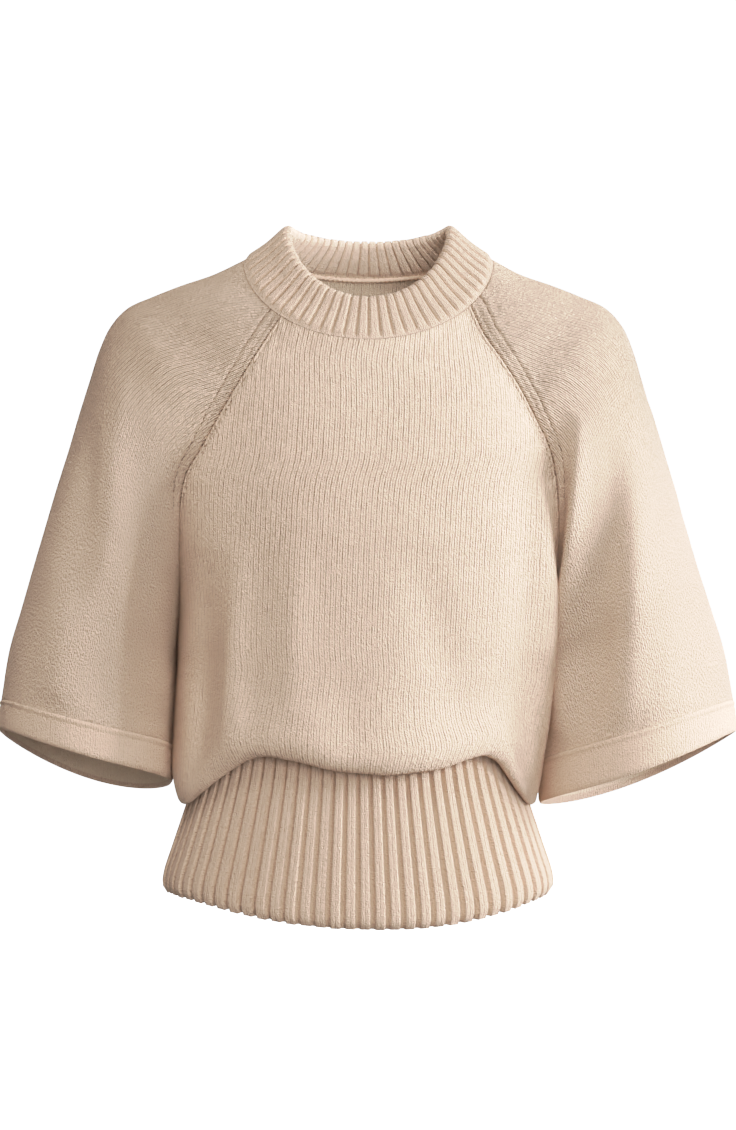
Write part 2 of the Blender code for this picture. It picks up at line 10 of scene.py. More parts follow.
import bpy
import numpy as np
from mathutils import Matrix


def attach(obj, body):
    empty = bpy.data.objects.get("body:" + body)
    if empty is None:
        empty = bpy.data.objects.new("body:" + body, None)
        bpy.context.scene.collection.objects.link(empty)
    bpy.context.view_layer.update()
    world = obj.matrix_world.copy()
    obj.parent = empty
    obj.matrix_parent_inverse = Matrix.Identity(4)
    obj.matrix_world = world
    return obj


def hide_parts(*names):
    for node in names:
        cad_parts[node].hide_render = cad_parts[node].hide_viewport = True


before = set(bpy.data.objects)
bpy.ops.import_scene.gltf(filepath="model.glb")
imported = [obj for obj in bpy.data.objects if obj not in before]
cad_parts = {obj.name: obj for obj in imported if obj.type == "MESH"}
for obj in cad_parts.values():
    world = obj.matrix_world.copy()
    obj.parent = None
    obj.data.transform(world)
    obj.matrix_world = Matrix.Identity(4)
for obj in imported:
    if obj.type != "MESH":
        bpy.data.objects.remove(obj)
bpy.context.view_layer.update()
MM = 0.001
bpy.ops.object.select_all(action="DESELECT")
print("nodes of the frame:", ", ".join(sorted(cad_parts)))

# %% [markdown]
# ## Sizes in tables
# A knitter shapes a piece by counting stitches row by row. The same is done here: a short table
# has one line for each section of the garment, in millimetres, and smooth curves run through the
# lines. That keeps each form easy to change, which a long list of points would not.


# %% A table of named columns
def table(names, *rows):
    """Turn rows of numbers into one array for each named column."""
    return dict(zip(names.split(), np.array(rows, dtype=float).T))


print("a small table:", table("x z", (1, 2), (3, 4)))

# %% [markdown]
# ## Smooth curves through the sections
# Each piece starts as a grid: its rows are the sections, and its columns run down the garment.
# `through` draws a smooth curve along every column and picks closely spaced points on it. The
# curve passes through each section and never swings out between two uneven ones, because its
# steps are measured by the square root of the distance.


# %% Helpers for grids
def unit(vectors):
    """Scale vectors to length one."""
    return vectors / np.linalg.norm(vectors, axis=-1, keepdims=True)


def facing(points, closed=False):
    """Outward direction at each point of a grid whose rows run down the garment."""
    down = np.gradient(points, axis=0)
    if closed:
        across = (np.roll(points, -1, axis=1) - np.roll(points, 1, axis=1)) / 2
    else:
        across = np.gradient(points, axis=1)
    return unit(np.cross(down, across))


def through(points, spacing):
    """Finer rows on smooth curves through all rows, and the place of each among them."""
    step = np.sqrt(np.linalg.norm(np.diff(points, axis=0), axis=-1))[..., None] + 1e-6
    slope = np.diff(points, axis=0) / step
    tangent = np.empty_like(points)
    tangent[0] = slope[0]
    tangent[-1] = slope[-1]
    tangent[1:-1] = (slope[:-1] * step[1:] + slope[1:] * step[:-1]) / (step[:-1] + step[1:])
    rows = []
    place = []
    for n in range(len(step)):
        length = np.linalg.norm(points[n + 1] - points[n], axis=-1).mean()
        count = max(1, round(length / spacing))
        for s in np.arange(count) / count:
            start = (2 * s**3 - 3 * s**2 + 1) * points[n]
            start = start + (s**3 - 2 * s**2 + s) * step[n] * tangent[n]
            end = (3 * s**2 - 2 * s**3) * points[n + 1]
            end = end + (s**3 - s**2) * step[n] * tangent[n + 1]
            rows.append(start + end)
            place.append(n + s)
    rows.append(points[-1])
    place.append(len(step))
    return np.array(rows), np.array(place)


def evenly(row, shares):
    """Points of one finely drawn row at given shares of its length."""
    steps = np.linalg.norm(np.diff(row, axis=0), axis=1)
    length = np.concatenate([[0], np.cumsum(steps)])
    wanted = np.asarray(shares) * length[-1]
    return np.stack([np.interp(wanted, length, row[:, k]) for k in range(3)], axis=1)


print("a direction has length", float(np.linalg.norm(unit(np.array([3.0, 4.0])))))

# %% [markdown]
# ## Soft steps and bumps
# Cloth has no hard steps. `ease` fades one form into the next, `mound` raises a rounded ridge, and
# `soften` takes the corners off a line that is drawn through a few points.


# %% Soft shapes
def ease(value, low, high):
    """Nothing below low, one above high and a soft rise between them."""
    share = np.clip((value - low) / (high - low), 0, 1)
    return share * share * (3 - 2 * share)


def mound(value, centre, width):
    """A soft bump of height one round a centre."""
    return np.exp(-((value - centre) / width) ** 2)


def soften(values, reach):
    """Running mean of a row of values, which takes the corners off them."""
    padded = np.pad(values, reach, mode="edge")
    weights = np.hanning(2 * reach + 3)[1:-1]
    return np.convolve(padded, weights / weights.sum(), mode="valid")


print("a step of 0.5 eases to", float(ease(0.5, 0, 1)))

# %% [markdown]
# ## Columns close to the seams
# The raglan seams have fine grooves, and the middle of a panel has only broad folds. So the
# columns stand about three times closer at the seams than in the middle, which spends the faces
# well.

# %% Where the columns stand
PANEL_COLUMNS = 191
SLEEVE_COLUMNS = 191
CROWDING = 0.60
DRAWN_POINTS = 701
ROW_SPACING = 2.3


def crowded(count):
    """Shares from nothing to one that crowd together at both ends."""
    even = np.linspace(0, 1, count)
    return even - CROWDING * np.sin(2 * np.pi * even) / (2 * np.pi)


print("share between the first two columns:", round(float(crowded(PANEL_COLUMNS)[1]), 5))

# %% [markdown]
# ## The neck line
# All four big pieces and the collar meet on one ring round the neck. It is high at the sides and
# falls to the front and the back. One function gives its points, so the pieces meet on it exactly,
# and another gives the way that the cloth faces there.

# %% The neck ring
NECK_SEAM = dict(half_width=106.0, front_y=-88.0, back_y=75.0, side_z=14.0,
                 front_z=-64.0, back_z=4.0, back_power=3.0)
COLLAR_TOP = dict(half_width=69.0, front_y=-58.0, back_y=60.0, side_z=44.0,
                  front_z=-27.0, back_z=32.0, back_power=1.0)
SEAM_FACING = dict(front=28.0, side=60.0, back=35.0)
RAGLAN_ANGLE = dict(left=43.2, right=53.0)
PEAK_SOFTNESS = 0.16


def soft_positive(value):
    """The value where it is positive and nothing where it is negative, with no corner."""
    return (value + np.sqrt(value**2 + PEAK_SOFTNESS**2)) / (1 + np.sqrt(1 + PEAK_SOFTNESS**2))


def neck_ring(sizes, angle):
    """Point of a neck edge at an angle in degrees, from the front round by +X."""
    turn = np.radians(angle)
    ahead = np.cos(turn)
    middle_y = (sizes["front_y"] + sizes["back_y"]) / 2
    half_depth = (sizes["back_y"] - sizes["front_y"]) / 2
    front_drop = (sizes["front_z"] - sizes["side_z"]) * soft_positive(ahead)
    back_share = soft_positive(-ahead) ** sizes["back_power"]
    back_drop = (sizes["back_z"] - sizes["side_z"]) * back_share
    x = sizes["half_width"] * np.sin(turn)
    y = middle_y - half_depth * ahead
    return np.stack([x, y, sizes["side_z"] + front_drop + back_drop], axis=-1)


def neck_facing(angle):
    """Direction that the cloth faces at the neck seam, shared by all pieces there."""
    turn = np.radians(angle)
    ahead = np.cos(turn)
    end = np.where(ahead > 0, SEAM_FACING["front"], SEAM_FACING["back"])
    rise = np.radians(SEAM_FACING["side"] + (end - SEAM_FACING["side"]) * ahead**2)
    out = np.stack([np.sin(turn), -np.cos(turn)], axis=-1)
    return np.concatenate([out * np.cos(rise)[..., None], np.sin(rise)[..., None]], axis=-1)


ring = neck_ring(NECK_SEAM, np.linspace(0, 360, 361))
print("neck seam:", round(np.linalg.norm(np.diff(ring, axis=0), axis=1).sum()), "mm round")

# %% [markdown]
# ## Sections of front and back
# These lines give both raglan seams and the middles of front and back at twelve heights. The front
# was measured on the picture, and the back is a plain guess beside it. `turn` says how far round a
# row bends, in degrees: it grows towards the underarm, where the panel wraps round the side.

# %% Sections down to the underarm
BODY_BOXINESS = 0.84
SEAM_GAP = 0.3
SECTIONS = table(
    "left_x right_x left_y right_y front_z back_y back_z"
    " front_mid_y front_mid_z back_mid_y back_mid_z turn",
    (-83.0, 96.0, -73.0, -73.0, -59.5, 62.0, -16.0, -95.0, -83.0, 83.0, -18.0, 52.0),
    (-94.0, 108.0, -81.0, -81.0, -77.5, 71.0, -36.0, -100.5, -99.0, 90.0, -38.0, 52.0),
    (-108.6, 123.3, -86.0, -86.0, -102.0, 77.0, -64.0, -107.5, -121.0, 96.0, -66.0, 52.0),
    (-123.3, 136.4, -87.0, -88.0, -127.5, 79.0, -94.0, -113.0, -143.0, 100.0, -95.0, 54.0),
    (-138.3, 149.0, -84.0, -87.0, -154.5, 77.0, -128.0, -117.0, -164.0, 101.0, -128.0, 57.0),
    (-150.0, 153.2, -78.0, -84.0, -173.5, 72.0, -154.0, -119.5, -181.0, 100.0, -154.0, 60.0),
    (-154.8, 155.6, -71.0, -80.0, -193.5, 66.0, -182.0, -121.5, -200.0, 98.0, -182.0, 64.0),
    (-156.5, 156.9, -63.0, -74.0, -217.0, 59.0, -212.0, -123.0, -221.0, 95.5, -212.0, 68.0),
    (-157.5, 156.7, -54.0, -66.0, -240.0, 51.0, -239.0, -123.0, -242.0, 93.0, -239.0, 72.0),
    (-157.8, 156.5, -44.0, -56.0, -262.0, 42.0, -264.0, -122.5, -263.0, 93.0, -264.0, 77.0),
    (-158.9, 155.6, -32.0, -43.0, -287.0, 31.0, -289.0, -121.5, -287.0, 94.0, -289.0, 82.0),
    (-161.0, 154.5, -17.0, -25.0, -312.5, 17.0, -314.0, -120.5, -312.5, 96.0, -313.5, 87.0),
)
print(len(SECTIONS["turn"]), "sections from the neck to the underarm")

# %% [markdown]
# ## The band's outline
# The waistband is gathered at its top and widens to the hips. The pouch of the body has to clear
# it, so its outline comes first. A rounded box fits a body better than an ellipse: it is a little
# flatter at the front and the back.

# %% Outline of the waistband
WAISTBAND = table(
    "share half_width half_depth",
    (0.0, 123.0, 92.0),
    (0.30, 131.0, 96.5),
    (0.54, 142.5, 101.0),
    (0.75, 153.5, 104.5),
    (0.91, 161.5, 106.5),
    (0.965, 162.0, 106.5),
    (1.0, 158.5, 104.5),
)
WAISTBAND_TOP_Z = -368.0
WAISTBAND_MIDDLE = (-8.8, -5.0)
HEM_Z = dict(side=-523.0, front=-545.0, back=-538.0)
HEM_LOWEST_ANGLE = 6.0


def waist_outline(angle, z, hem_z, clearance):
    """Point beside the waistband at a height, a clearance away from it."""
    share = np.clip((z - WAISTBAND_TOP_Z) / (hem_z - WAISTBAND_TOP_Z), 0, 1)
    half_width = np.interp(share, WAISTBAND["share"], WAISTBAND["half_width"]) + clearance
    half_depth = np.interp(share, WAISTBAND["share"], WAISTBAND["half_depth"]) + clearance
    turn = np.radians(angle)
    across = np.sign(np.sin(turn)) * np.abs(np.sin(turn)) ** BODY_BOXINESS
    ahead = np.sign(np.cos(turn)) * np.abs(np.cos(turn)) ** BODY_BOXINESS
    x = WAISTBAND_MIDDLE[0] + half_width * across
    y = WAISTBAND_MIDDLE[1] - half_depth * ahead
    return np.stack([x, y, z], axis=-1)


def hem_height(angle):
    """Height of the bottom hem, which dips at the front and a little at the back."""
    ahead = np.cos(np.radians(angle - HEM_LOWEST_ANGLE))
    end = np.where(ahead > 0, HEM_Z["front"], HEM_Z["back"])
    return HEM_Z["side"] + (end - HEM_Z["side"]) * np.abs(ahead) ** 3


print("the hem hangs lowest at", round(float(hem_height(HEM_LOWEST_ANGLE)), 1), "mm")

# %% [markdown]
# ## The pouch
# The body is longer than it looks: it falls over the band, turns under and goes back up to a seam
# inside. A line of heights round the body draws the wavy lower edge, and the cloth turns there in
# half a circle. Building the turn as rows of the same grid keeps each panel one piece of cloth.

# %% Sections of the pouch
LOWER_BODY = table(
    "left_x right_x front_mid_y back_mid_y",
    (-162.8, 152.6, -119.5, 98.0),
    (-163.8, 148.2, -119.5, 101.5),
    (-165.2, 144.8, -121.0, 105.0),
    (-166.2, 143.8, -122.5, 107.0),
)
UNDERARM_Z = -337.0
# lowest line of the pouch, by the angle from the front
POUCH_EDGE = table(
    "angle z",
    (-180.0, -424.0), (-165.0, -421.0), (-145.0, -411.0), (-128.0, -416.0),
    (-115.0, -434.0), (-100.0, -438.0), (-90.0, -434.0), (-80.0, -441.0),
    (-72.0, -449.0), (-66.0, -447.0), (-57.0, -437.0), (-45.0, -421.5), (-38.0, -412.5),
    (-32.0, -406.5), (-26.0, -404.5), (-15.0, -409.0), (-5.0, -416.0),
    (7.0, -420.0), (24.0, -415.5), (34.0, -408.5), (43.0, -404.5),
    (52.0, -412.0), (63.0, -437.0), (72.0, -449.5), (80.0, -449.0), (90.0, -441.0),
    (104.0, -440.0), (118.0, -428.0), (134.0, -412.0), (155.0, -414.0),
    (180.0, -424.0),
)
POUCH_TURNS = (30.0, 60.0, 90.0, 120.0, 150.0, 180.0)
POUCH_ROUNDNESS = 3.6
POUCH_DEEPEST = 18.0
POUCH_CLEARANCE = 4.4
WAIST_SEAM = ((4.6, -6.0), (4.2, 0.3), (0.6, 0.9))
EDGE_SOFTNESS = 15
print("the pouch turns under between", POUCH_EDGE["z"].max(), "and", POUCH_EDGE["z"].min(), "mm")

# %% [markdown]
# ## Rows of the body
# From the neck to the underarm, a row of the front bows forward from one raglan seam to the other.
# The bow is flatter than a circle, because a body is. The back is made in the same way, with other
# columns of the tables.


# %% Rows down to the underarm
def row_between(start, end, mid_y, mid_z, turn, spread):
    """Row of a panel that bows from one seam over the middle to the other seam."""
    angle = np.radians(turn) * spread
    limit = np.radians(turn)
    side = np.sign(angle) * (np.abs(np.sin(angle)) / np.sin(limit)) ** BODY_BOXINESS
    edge_level = np.cos(limit) ** BODY_BOXINESS if turn < 90 else 0.0
    bow = (np.clip(np.cos(angle), 0, 1) ** BODY_BOXINESS - edge_level) / (1 - edge_level)
    ends = start + (end - start) * ((1 + side) / 2)[:, None]
    row = ends.copy()
    row[:, 1] += (mid_y - ends[:, 1]) * bow
    row[:, 2] += (mid_z - ends[:, 2]) * bow
    return row


def body_side(front, spread):
    """Columns of the tables for the front or the back, and its angles along a row."""
    if front:
        ends = (-RAGLAN_ANGLE["left"], RAGLAN_ANGLE["right"])
        return dict(first="left", last="right", first_y="left_y", last_y="right_y",
                    seam_z="front_z", mid="front_mid", neck=np.interp(spread, (-1, 1), ends),
                    around=90 * spread, side_y=-SEAM_GAP / 2)
    ends = (180 - RAGLAN_ANGLE["right"], 180 + RAGLAN_ANGLE["left"])
    return dict(first="right", last="left", first_y="back_y", last_y="back_y",
                seam_z="back_z", mid="back_mid", neck=np.interp(spread, (-1, 1), ends),
                around=180 + 90 * spread, side_y=SEAM_GAP / 2)


def raglan_rows(side, spread):
    """Rows between the raglan seams, from the neck seam to the underarm."""
    rows = [neck_ring(NECK_SEAM, side["neck"])]
    for n, turn in enumerate(SECTIONS["turn"]):
        z = SECTIONS[side["seam_z"]][n]
        start = np.array([SECTIONS[side["first"] + "_x"][n], SECTIONS[side["first_y"]][n], z])
        end = np.array([SECTIONS[side["last"] + "_x"][n], SECTIONS[side["last_y"]][n], z])
        middle_y = SECTIONS[side["mid"] + "_y"][n]
        middle_z = SECTIONS[side["mid"] + "_z"][n]
        rows.append(row_between(start, end, middle_y, middle_z, turn, spread))
    return rows


print("rows down to the underarm:", len(raglan_rows(body_side(True, np.zeros(3)), np.zeros(3))))

# %% [markdown]
# ## Rows of the pouch
# Below the underarm a row runs from side seam to side seam. The last rows turn under in half a
# round, as wide as the space between the body and the band, and end inside at the waist seam.
# Then a smooth curve joins all rows of a panel, and it is divided finely.


# %% Rows of the pouch
def pouch_rows(side, spread):
    """Rows down from the underarm, round the bottom of the pouch and up to the waist seam."""
    around = side["around"]
    side_y = side["side_y"]
    edge_z = np.interp((around + 180) % 360 - 180, POUCH_EDGE["angle"], POUCH_EDGE["z"])
    edge_z = soften(edge_z, EDGE_SOFTNESS)
    hem_z = hem_height(around)
    inner = waist_outline(around, edge_z, hem_z, POUCH_CLEARANCE)
    inner[[0, -1], 1] = side_y
    rows = []
    for n, middle_y in enumerate(LOWER_BODY[side["mid"] + "_y"]):
        start = np.array([LOWER_BODY[side["first"] + "_x"][n], side_y, UNDERARM_Z])
        end = np.array([LOWER_BODY[side["last"] + "_x"][n], side_y, UNDERARM_Z])
        rows.append(row_between(start, end, middle_y, UNDERARM_Z, 90.0, spread))
    half = (rows[-1] - inner) / 2
    half[:, 2] = 0
    depth = np.minimum(np.linalg.norm(half, axis=1) ** 2 / POUCH_ROUNDNESS, POUCH_DEEPEST)
    turn_z = edge_z + depth
    for n, row in enumerate(rows):
        row[:, 2] = UNDERARM_Z + (turn_z - UNDERARM_Z) * n / (len(rows) - 1)
    centre = (rows[-1] + inner) / 2
    for turn in np.radians(POUCH_TURNS):
        row = centre + half * np.cos(turn)
        row[:, 2] = turn_z - depth * np.sin(turn)
        rows.append(row)
    level = np.full(len(spread), WAISTBAND_TOP_Z)
    ends = []
    for clearance, rise in WAIST_SEAM:
        row = waist_outline(around, level, hem_z, clearance)
        row[:, 2] += rise
        row[[0, -1], 1] = side_y
        ends.append(row)
    return rows + [(rows[-1] + ends[0]) / 2, *ends]


def body_rows(front):
    """The sections of the front or the back, drawn finely, from neck seam to waist seam."""
    spread = np.linspace(-1, 1, DRAWN_POINTS)
    side = body_side(front, spread)
    return raglan_rows(side, spread) + pouch_rows(side, spread)


def panel_grid(rows, columns):
    """Fine grid of a panel in millimetres from its finely drawn sections."""
    shares = crowded(columns)
    return through(np.array([evenly(row, shares) for row in rows]), ROW_SPACING)


front, front_place = panel_grid(body_rows(True), PANEL_COLUMNS)
back, back_place = panel_grid(body_rows(False), PANEL_COLUMNS)
print("front grid:", front.shape[:2], "back grid:", back.shape[:2])

# %% [markdown]
# ## Sleeves
# A cape sleeve is one wide piece. Its section is an arc that leaves the front raglan seam, goes
# over the outer line of the arm and comes back to the back seam. Past the underarm the two ends
# meet, and the arc is a whole tube.

# %% Sections of a sleeve
# line over the shoulder and down the sleeve, and half the sleeve's depth there
SLEEVE_LINE = table(
    "left_outer_x right_outer_x outer_z depth",
    (-133.0, 130.0, -4.5, 72.0),
    (-160.0, 156.5, -13.0, 80.5),
    (-184.0, 180.5, -22.0, 84.8),
    (-205.0, 201.5, -31.5, 86.0),
    (-218.5, 215.0, -46.0, 86.5),
    (-227.5, 223.5, -65.0, 87.5),
    (-236.0, 231.5, -92.0, 88.5),
    (-245.0, 240.0, -121.0, 89.0),
    (-254.0, 249.5, -152.0, 89.0),
    (-264.0, 259.5, -184.0, 89.0),
    (-274.0, 270.0, -218.0, 88.5),
    (-284.0, 280.0, -252.0, 88.0),
    (-294.0, 290.5, -287.0, 87.0),
    (-304.0, 301.0, -322.0, 86.0),
    (-311.0, 309.0, -365.0, 85.0),
)
SHOULDER_SECTIONS = 3
SLEEVE_Y = -3.0
UNDERARM = table(
    "left_x right_x left_z right_z tilt sag",
    (-162.9, 152.7, -337.0, -337.0, 4.0, 0.0),
    (-164.6, 148.6, -367.0, -373.0, 8.0, 3.0),
    (-166.6, 145.0, -402.0, -416.0, 11.0, 8.0),
)


def sleeve_section(front_end, back_end, outer, depth, short, spread):
    """Arc of the sleeve from the front seam over its outer line to the back seam."""
    middle = (front_end + back_end) / 2
    out = unit(outer - middle)
    across = unit(back_end - front_end)
    height = np.linalg.norm(outer - middle)
    half = np.linalg.norm(back_end - front_end) / 2
    wrap = np.arcsin(half / depth)
    if not short:
        wrap = np.pi - wrap
    reach = height / (1 - np.cos(wrap))
    angle = wrap * spread
    along = reach * (np.cos(angle) - np.cos(wrap))
    return middle + along[:, None] * out + (depth * np.sin(angle))[:, None] * across


def seam_ends(x, z, tilt):
    """Front and back edge of the underarm seam, tilted as the sleeve's section is."""
    gap = SEAM_GAP / 2
    drop = np.tan(np.radians(tilt)) * gap
    return np.array([x, -gap, z + drop]), np.array([x, gap, z - drop])


print("the sleeve hangs out to", SLEEVE_LINE["left_outer_x"].min(), "mm")

# %% [markdown]
# ## Rows of a sleeve
# The ends of a sleeve's rows come from the same numbers as the raglan edges of the front and the
# back, so no gap can open there. The rows are arcs over the shoulder and whole rounds lower down.


# %% Rows of a sleeve
def sleeve_rows(name):
    """The sections of a sleeve, drawn finely, from the neck seam to the cuff seam."""
    side = 1 if name == "right" else -1
    spread = np.linspace(-1, 1, DRAWN_POINTS)
    angle = RAGLAN_ANGLE[name]
    rows = [neck_ring(NECK_SEAM, side * np.interp(spread, (-1, 1), (angle, 180 - angle)))]
    sections = len(SECTIONS["turn"])
    for n in range(len(SLEEVE_LINE["depth"])):
        outer_x = SLEEVE_LINE[name + "_outer_x"][n]
        outer = np.array([outer_x, SLEEVE_Y, SLEEVE_LINE["outer_z"][n]])
        sag = 0.0
        if n < sections:
            x = SECTIONS[name + "_x"][n]
            front_end = np.array([x, SECTIONS[name + "_y"][n], SECTIONS["front_z"][n]])
            back_end = np.array([x, SECTIONS["back_y"][n], SECTIONS["back_z"][n]])
        else:
            low = n - sections
            sag = UNDERARM["sag"][low]
            front_end, back_end = seam_ends(UNDERARM[name + "_x"][low],
                                            UNDERARM[name + "_z"][low], UNDERARM["tilt"][low])
        row = sleeve_section(front_end, back_end, outer, SLEEVE_LINE["depth"][n],
                             n < SHOULDER_SECTIONS, spread)
        row[:, 2] -= sag * np.sin(np.pi * spread) ** 2
        rows.append(row)
    if side < 0:
        rows = [row[::-1] for row in rows]
    return rows


sleeve_right, right_place = panel_grid(sleeve_rows("right"), SLEEVE_COLUMNS)
sleeve_left, left_place = panel_grid(sleeve_rows("left"), SLEEVE_COLUMNS)
print("sleeve grid:", sleeve_right.shape[:2], "and", sleeve_left.shape[:2])

# %% [markdown]
# ## Knit coordinates
# Columns of stitches are called wales and rows of them courses. In a raglan the wales run straight
# down the middle of each piece, and the seams cut across them. So each point gets its distance
# from the middle column, measured along the cloth, and its distance from the neck. The knit
# pattern follows these two numbers. Below the underarm nothing cuts the wales, and they only crowd
# together where the cloth is gathered.


# %% Coordinates on the cloth
def knit_place(grid, straight_from):
    """Distance across the wales and along them, in metres, for each point of a panel."""
    steps = np.linalg.norm(np.diff(grid, axis=1), axis=-1)
    across = np.concatenate([np.zeros((len(grid), 1)), np.cumsum(steps, axis=1)], axis=1)
    middle = grid.shape[1] // 2
    across -= across[:, [middle]]
    across[straight_from:] = across[straight_from]
    down = np.linalg.norm(np.diff(grid[:, middle], axis=0), axis=-1)
    along = np.concatenate([[0], np.cumsum(down)])
    return np.stack([across, np.broadcast_to(along[:, None], across.shape)], axis=-1) * MM


LAST_RAGLAN = len(SECTIONS["turn"])
straight = int(np.searchsorted(front_place, LAST_RAGLAN + 1))
straight_back = int(np.searchsorted(back_place, LAST_RAGLAN + 1))
places = {
    "front": knit_place(front, straight),
    "back": knit_place(back, straight_back),
    "left": knit_place(sleeve_left, len(sleeve_left) - 1),
    "right": knit_place(sleeve_right, len(sleeve_right) - 1),
}

# %% [markdown]
# ## Distance from the seams
# The relief and the dashes of a raglan follow its seam, which leans and bends. So each point also
# gets its distance from the nearer side edge of its panel, and how far down that edge it lies.
# Both are measured square to the edge, as a sewer would lay a tape on it.

# %% Beside the seams
EDGE_SEARCH = 45


def from_edge(grid, edge):
    """How far each point lies from a side edge of its panel, and how far down that edge."""
    line = grid[:, edge]
    along = unit(np.gradient(line, axis=0))
    steps = np.linalg.norm(np.diff(line, axis=0), axis=1)
    run = np.concatenate([[0], np.cumsum(steps)])
    own = np.arange(len(grid))
    nearest = np.zeros(grid.shape[:2], dtype=int) + own[:, None]
    best = np.linalg.norm(grid - line[:, None], axis=-1)
    for shift in range(-EDGE_SEARCH, EDGE_SEARCH + 1):
        other = np.clip(own + shift, 0, len(grid) - 1)
        gap = np.linalg.norm(grid - line[other][:, None], axis=-1)
        nearest = np.where(gap < best, other[:, None], nearest)
        best = np.minimum(best, gap)
    apart = grid - line[nearest]
    ahead = np.einsum("ijk,ijk->ij", apart, along[nearest])
    beside = np.sqrt(np.maximum(np.einsum("ijk,ijk->ij", apart, apart) - ahead**2, 0))
    return beside, run[nearest] + ahead


def seam_place(grid):
    """Distance from the nearer side seam and distance down it, in millimetres."""
    first_beside, first_run = from_edge(grid, 0)
    last_beside, last_run = from_edge(grid, -1)
    nearer = first_beside < last_beside
    return np.where(nearer, first_beside, last_beside), np.where(nearer, first_run, last_run)


grids = {"front": front, "back": back, "left": sleeve_left, "right": sleeve_right}
places_down = {"front": front_place, "back": back_place, "left": left_place, "right": right_place}
seams = {name: seam_place(grid) for name, grid in grids.items()}
print("left raglan and side seam:", round(float(seams["front"][1].max())), "mm long")

# %% [markdown]
# ## Folds
# Thick knit falls in a few broad folds. Each is a line with a width and a lift: a ridge lifts and
# a trough sinks. They differ in length, depth and spacing, and the hidden back has its own folds.

# %% Fold tables
BODY_FOLDS = table(
    "top_x top_z foot_x foot_z half_width lift face",
    (-134.0, -235.0, -147.0, -452.0, 16.0, -8.0, -1.0),
    (-103.0, -225.0, -114.0, -432.0, 11.0, 6.5, -1.0),
    (-60.0, -225.0, -66.0, -380.0, 16.0, 3.0, -1.0),
    (-150.0, -345.0, -156.0, -440.0, 8.0, 3.0, -1.0),
    (38.0, -230.0, 84.0, -415.0, 20.0, -3.2, -1.0),
    (112.0, -190.0, 118.0, -405.0, 20.0, 3.0, -1.0),
    (146.0, -180.0, 137.0, -440.0, 11.0, 13.5, -1.0),
    (118.0, -396.0, 142.0, -452.0, 5.0, -4.0, -1.0),
    (-20.0, -330.0, -14.0, -425.0, 18.0, -1.5, -1.0),
    (-104.0, -250.0, -120.0, -430.0, 17.0, 5.0, 1.0),
    (-62.0, -280.0, -76.0, -425.0, 16.0, -5.0, 1.0),
    (20.0, -240.0, 12.0, -430.0, 22.0, 4.0, 1.0),
    (58.0, -290.0, 76.0, -425.0, 15.0, -4.5, 1.0),
    (104.0, -270.0, 116.0, -430.0, 16.0, 5.0, 1.0),
)
LEFT_SLEEVE_FOLDS = table(
    "top_x top_z foot_x foot_z half_width lift face",
    (-206.0, -70.0, -220.0, -215.0, 13.0, 4.0, -1.0),
    (-186.0, -120.0, -184.0, -420.0, 15.0, -6.0, -1.0),
    (-226.0, -130.0, -240.0, -290.0, 12.0, -4.0, -1.0),
    (-252.0, -230.0, -262.0, -400.0, 14.0, 3.5, -1.0),
    (-212.0, -250.0, -222.0, -400.0, 14.0, -3.0, -1.0),
    (-200.0, -150.0, -206.0, -420.0, 17.0, -5.0, 1.0),
    (-236.0, -110.0, -248.0, -420.0, 19.0, 4.5, 1.0),
    (-278.0, -210.0, -288.0, -400.0, 14.0, -3.0, 1.0),
)
RIGHT_SLEEVE_FOLDS = table(
    "top_x top_z foot_x foot_z half_width lift face",
    (206.0, -100.0, 185.0, -405.0, 15.0, -6.0, -1.0),
    (173.0, -120.0, 160.0, -410.0, 9.0, 15.0, -1.0),
    (226.0, -110.0, 204.0, -415.0, 19.0, 6.5, -1.0),
    (262.0, -190.0, 270.0, -400.0, 15.0, -3.0, -1.0),
    (192.0, -140.0, 196.0, -430.0, 16.0, -5.0, 1.0),
    (226.0, -120.0, 240.0, -420.0, 20.0, 4.0, 1.0),
    (270.0, -200.0, 286.0, -400.0, 15.0, -3.5, 1.0),
)
FOLD_TAPER = 0.8


def fold_lift(folds, points):
    """How far a table of soft folds lifts each point."""
    lift = np.zeros(points.shape[:2])
    x = points[..., 0]
    z = points[..., 2]
    for n in range(len(folds["lift"])):
        top = np.array([folds["top_x"][n], folds["top_z"][n]])
        run = np.array([folds["foot_x"][n], folds["foot_z"][n]]) - top
        length = np.hypot(*run)
        along = ((x - top[0]) * run[0] + (z - top[1]) * run[1]) / length**2
        aside = ((x - top[0]) * run[1] - (z - top[1]) * run[0]) / length
        taper = np.sin(np.pi * np.clip(along, 0, 1)) ** FOLD_TAPER
        here = ease(points[..., 1] * folds["face"][n], 0, 12)
        lift += folds["lift"][n] * here * taper * mound(aside, 0, folds["half_width"][n])
    return lift


for name, folds in (("body", BODY_FOLDS), ("left", LEFT_SLEEVE_FOLDS),
                    ("right", RIGHT_SLEEVE_FOLDS)):
    print(name, "has", len(folds["lift"]), "folds")

# %% [markdown]
# ## The raglan seams
# A fully fashioned raglan isn't cut but narrowed stitch by stitch, and then linked. That leaves a
# soft ribbon beside the seam, a groove on the sleeve where the stitches were moved, and small
# puckers on both sides. The larger part of this is real relief, a few tenths of a millimetre high,
# and the tiny holes are left to the material, which reads the distance from the seam.

# %% Relief along the seams
RAGLAN_END = 205.0
SEAM_DEPTH = 0.6
# soft ridges and grooves: height, distance and half width, in millimetres
LINES_FROM_SEAM = ((0.45, 2.3, 1.3), (-0.25, 4.6, 1.0))
LINES_FROM_GROOVE = ((-0.75, 0.0, 1.1), (0.30, 3.4, 2.4))
LINES_ON_BODY = ((0.40, 1.6, 1.0), (-0.35, 3.3, 0.8))


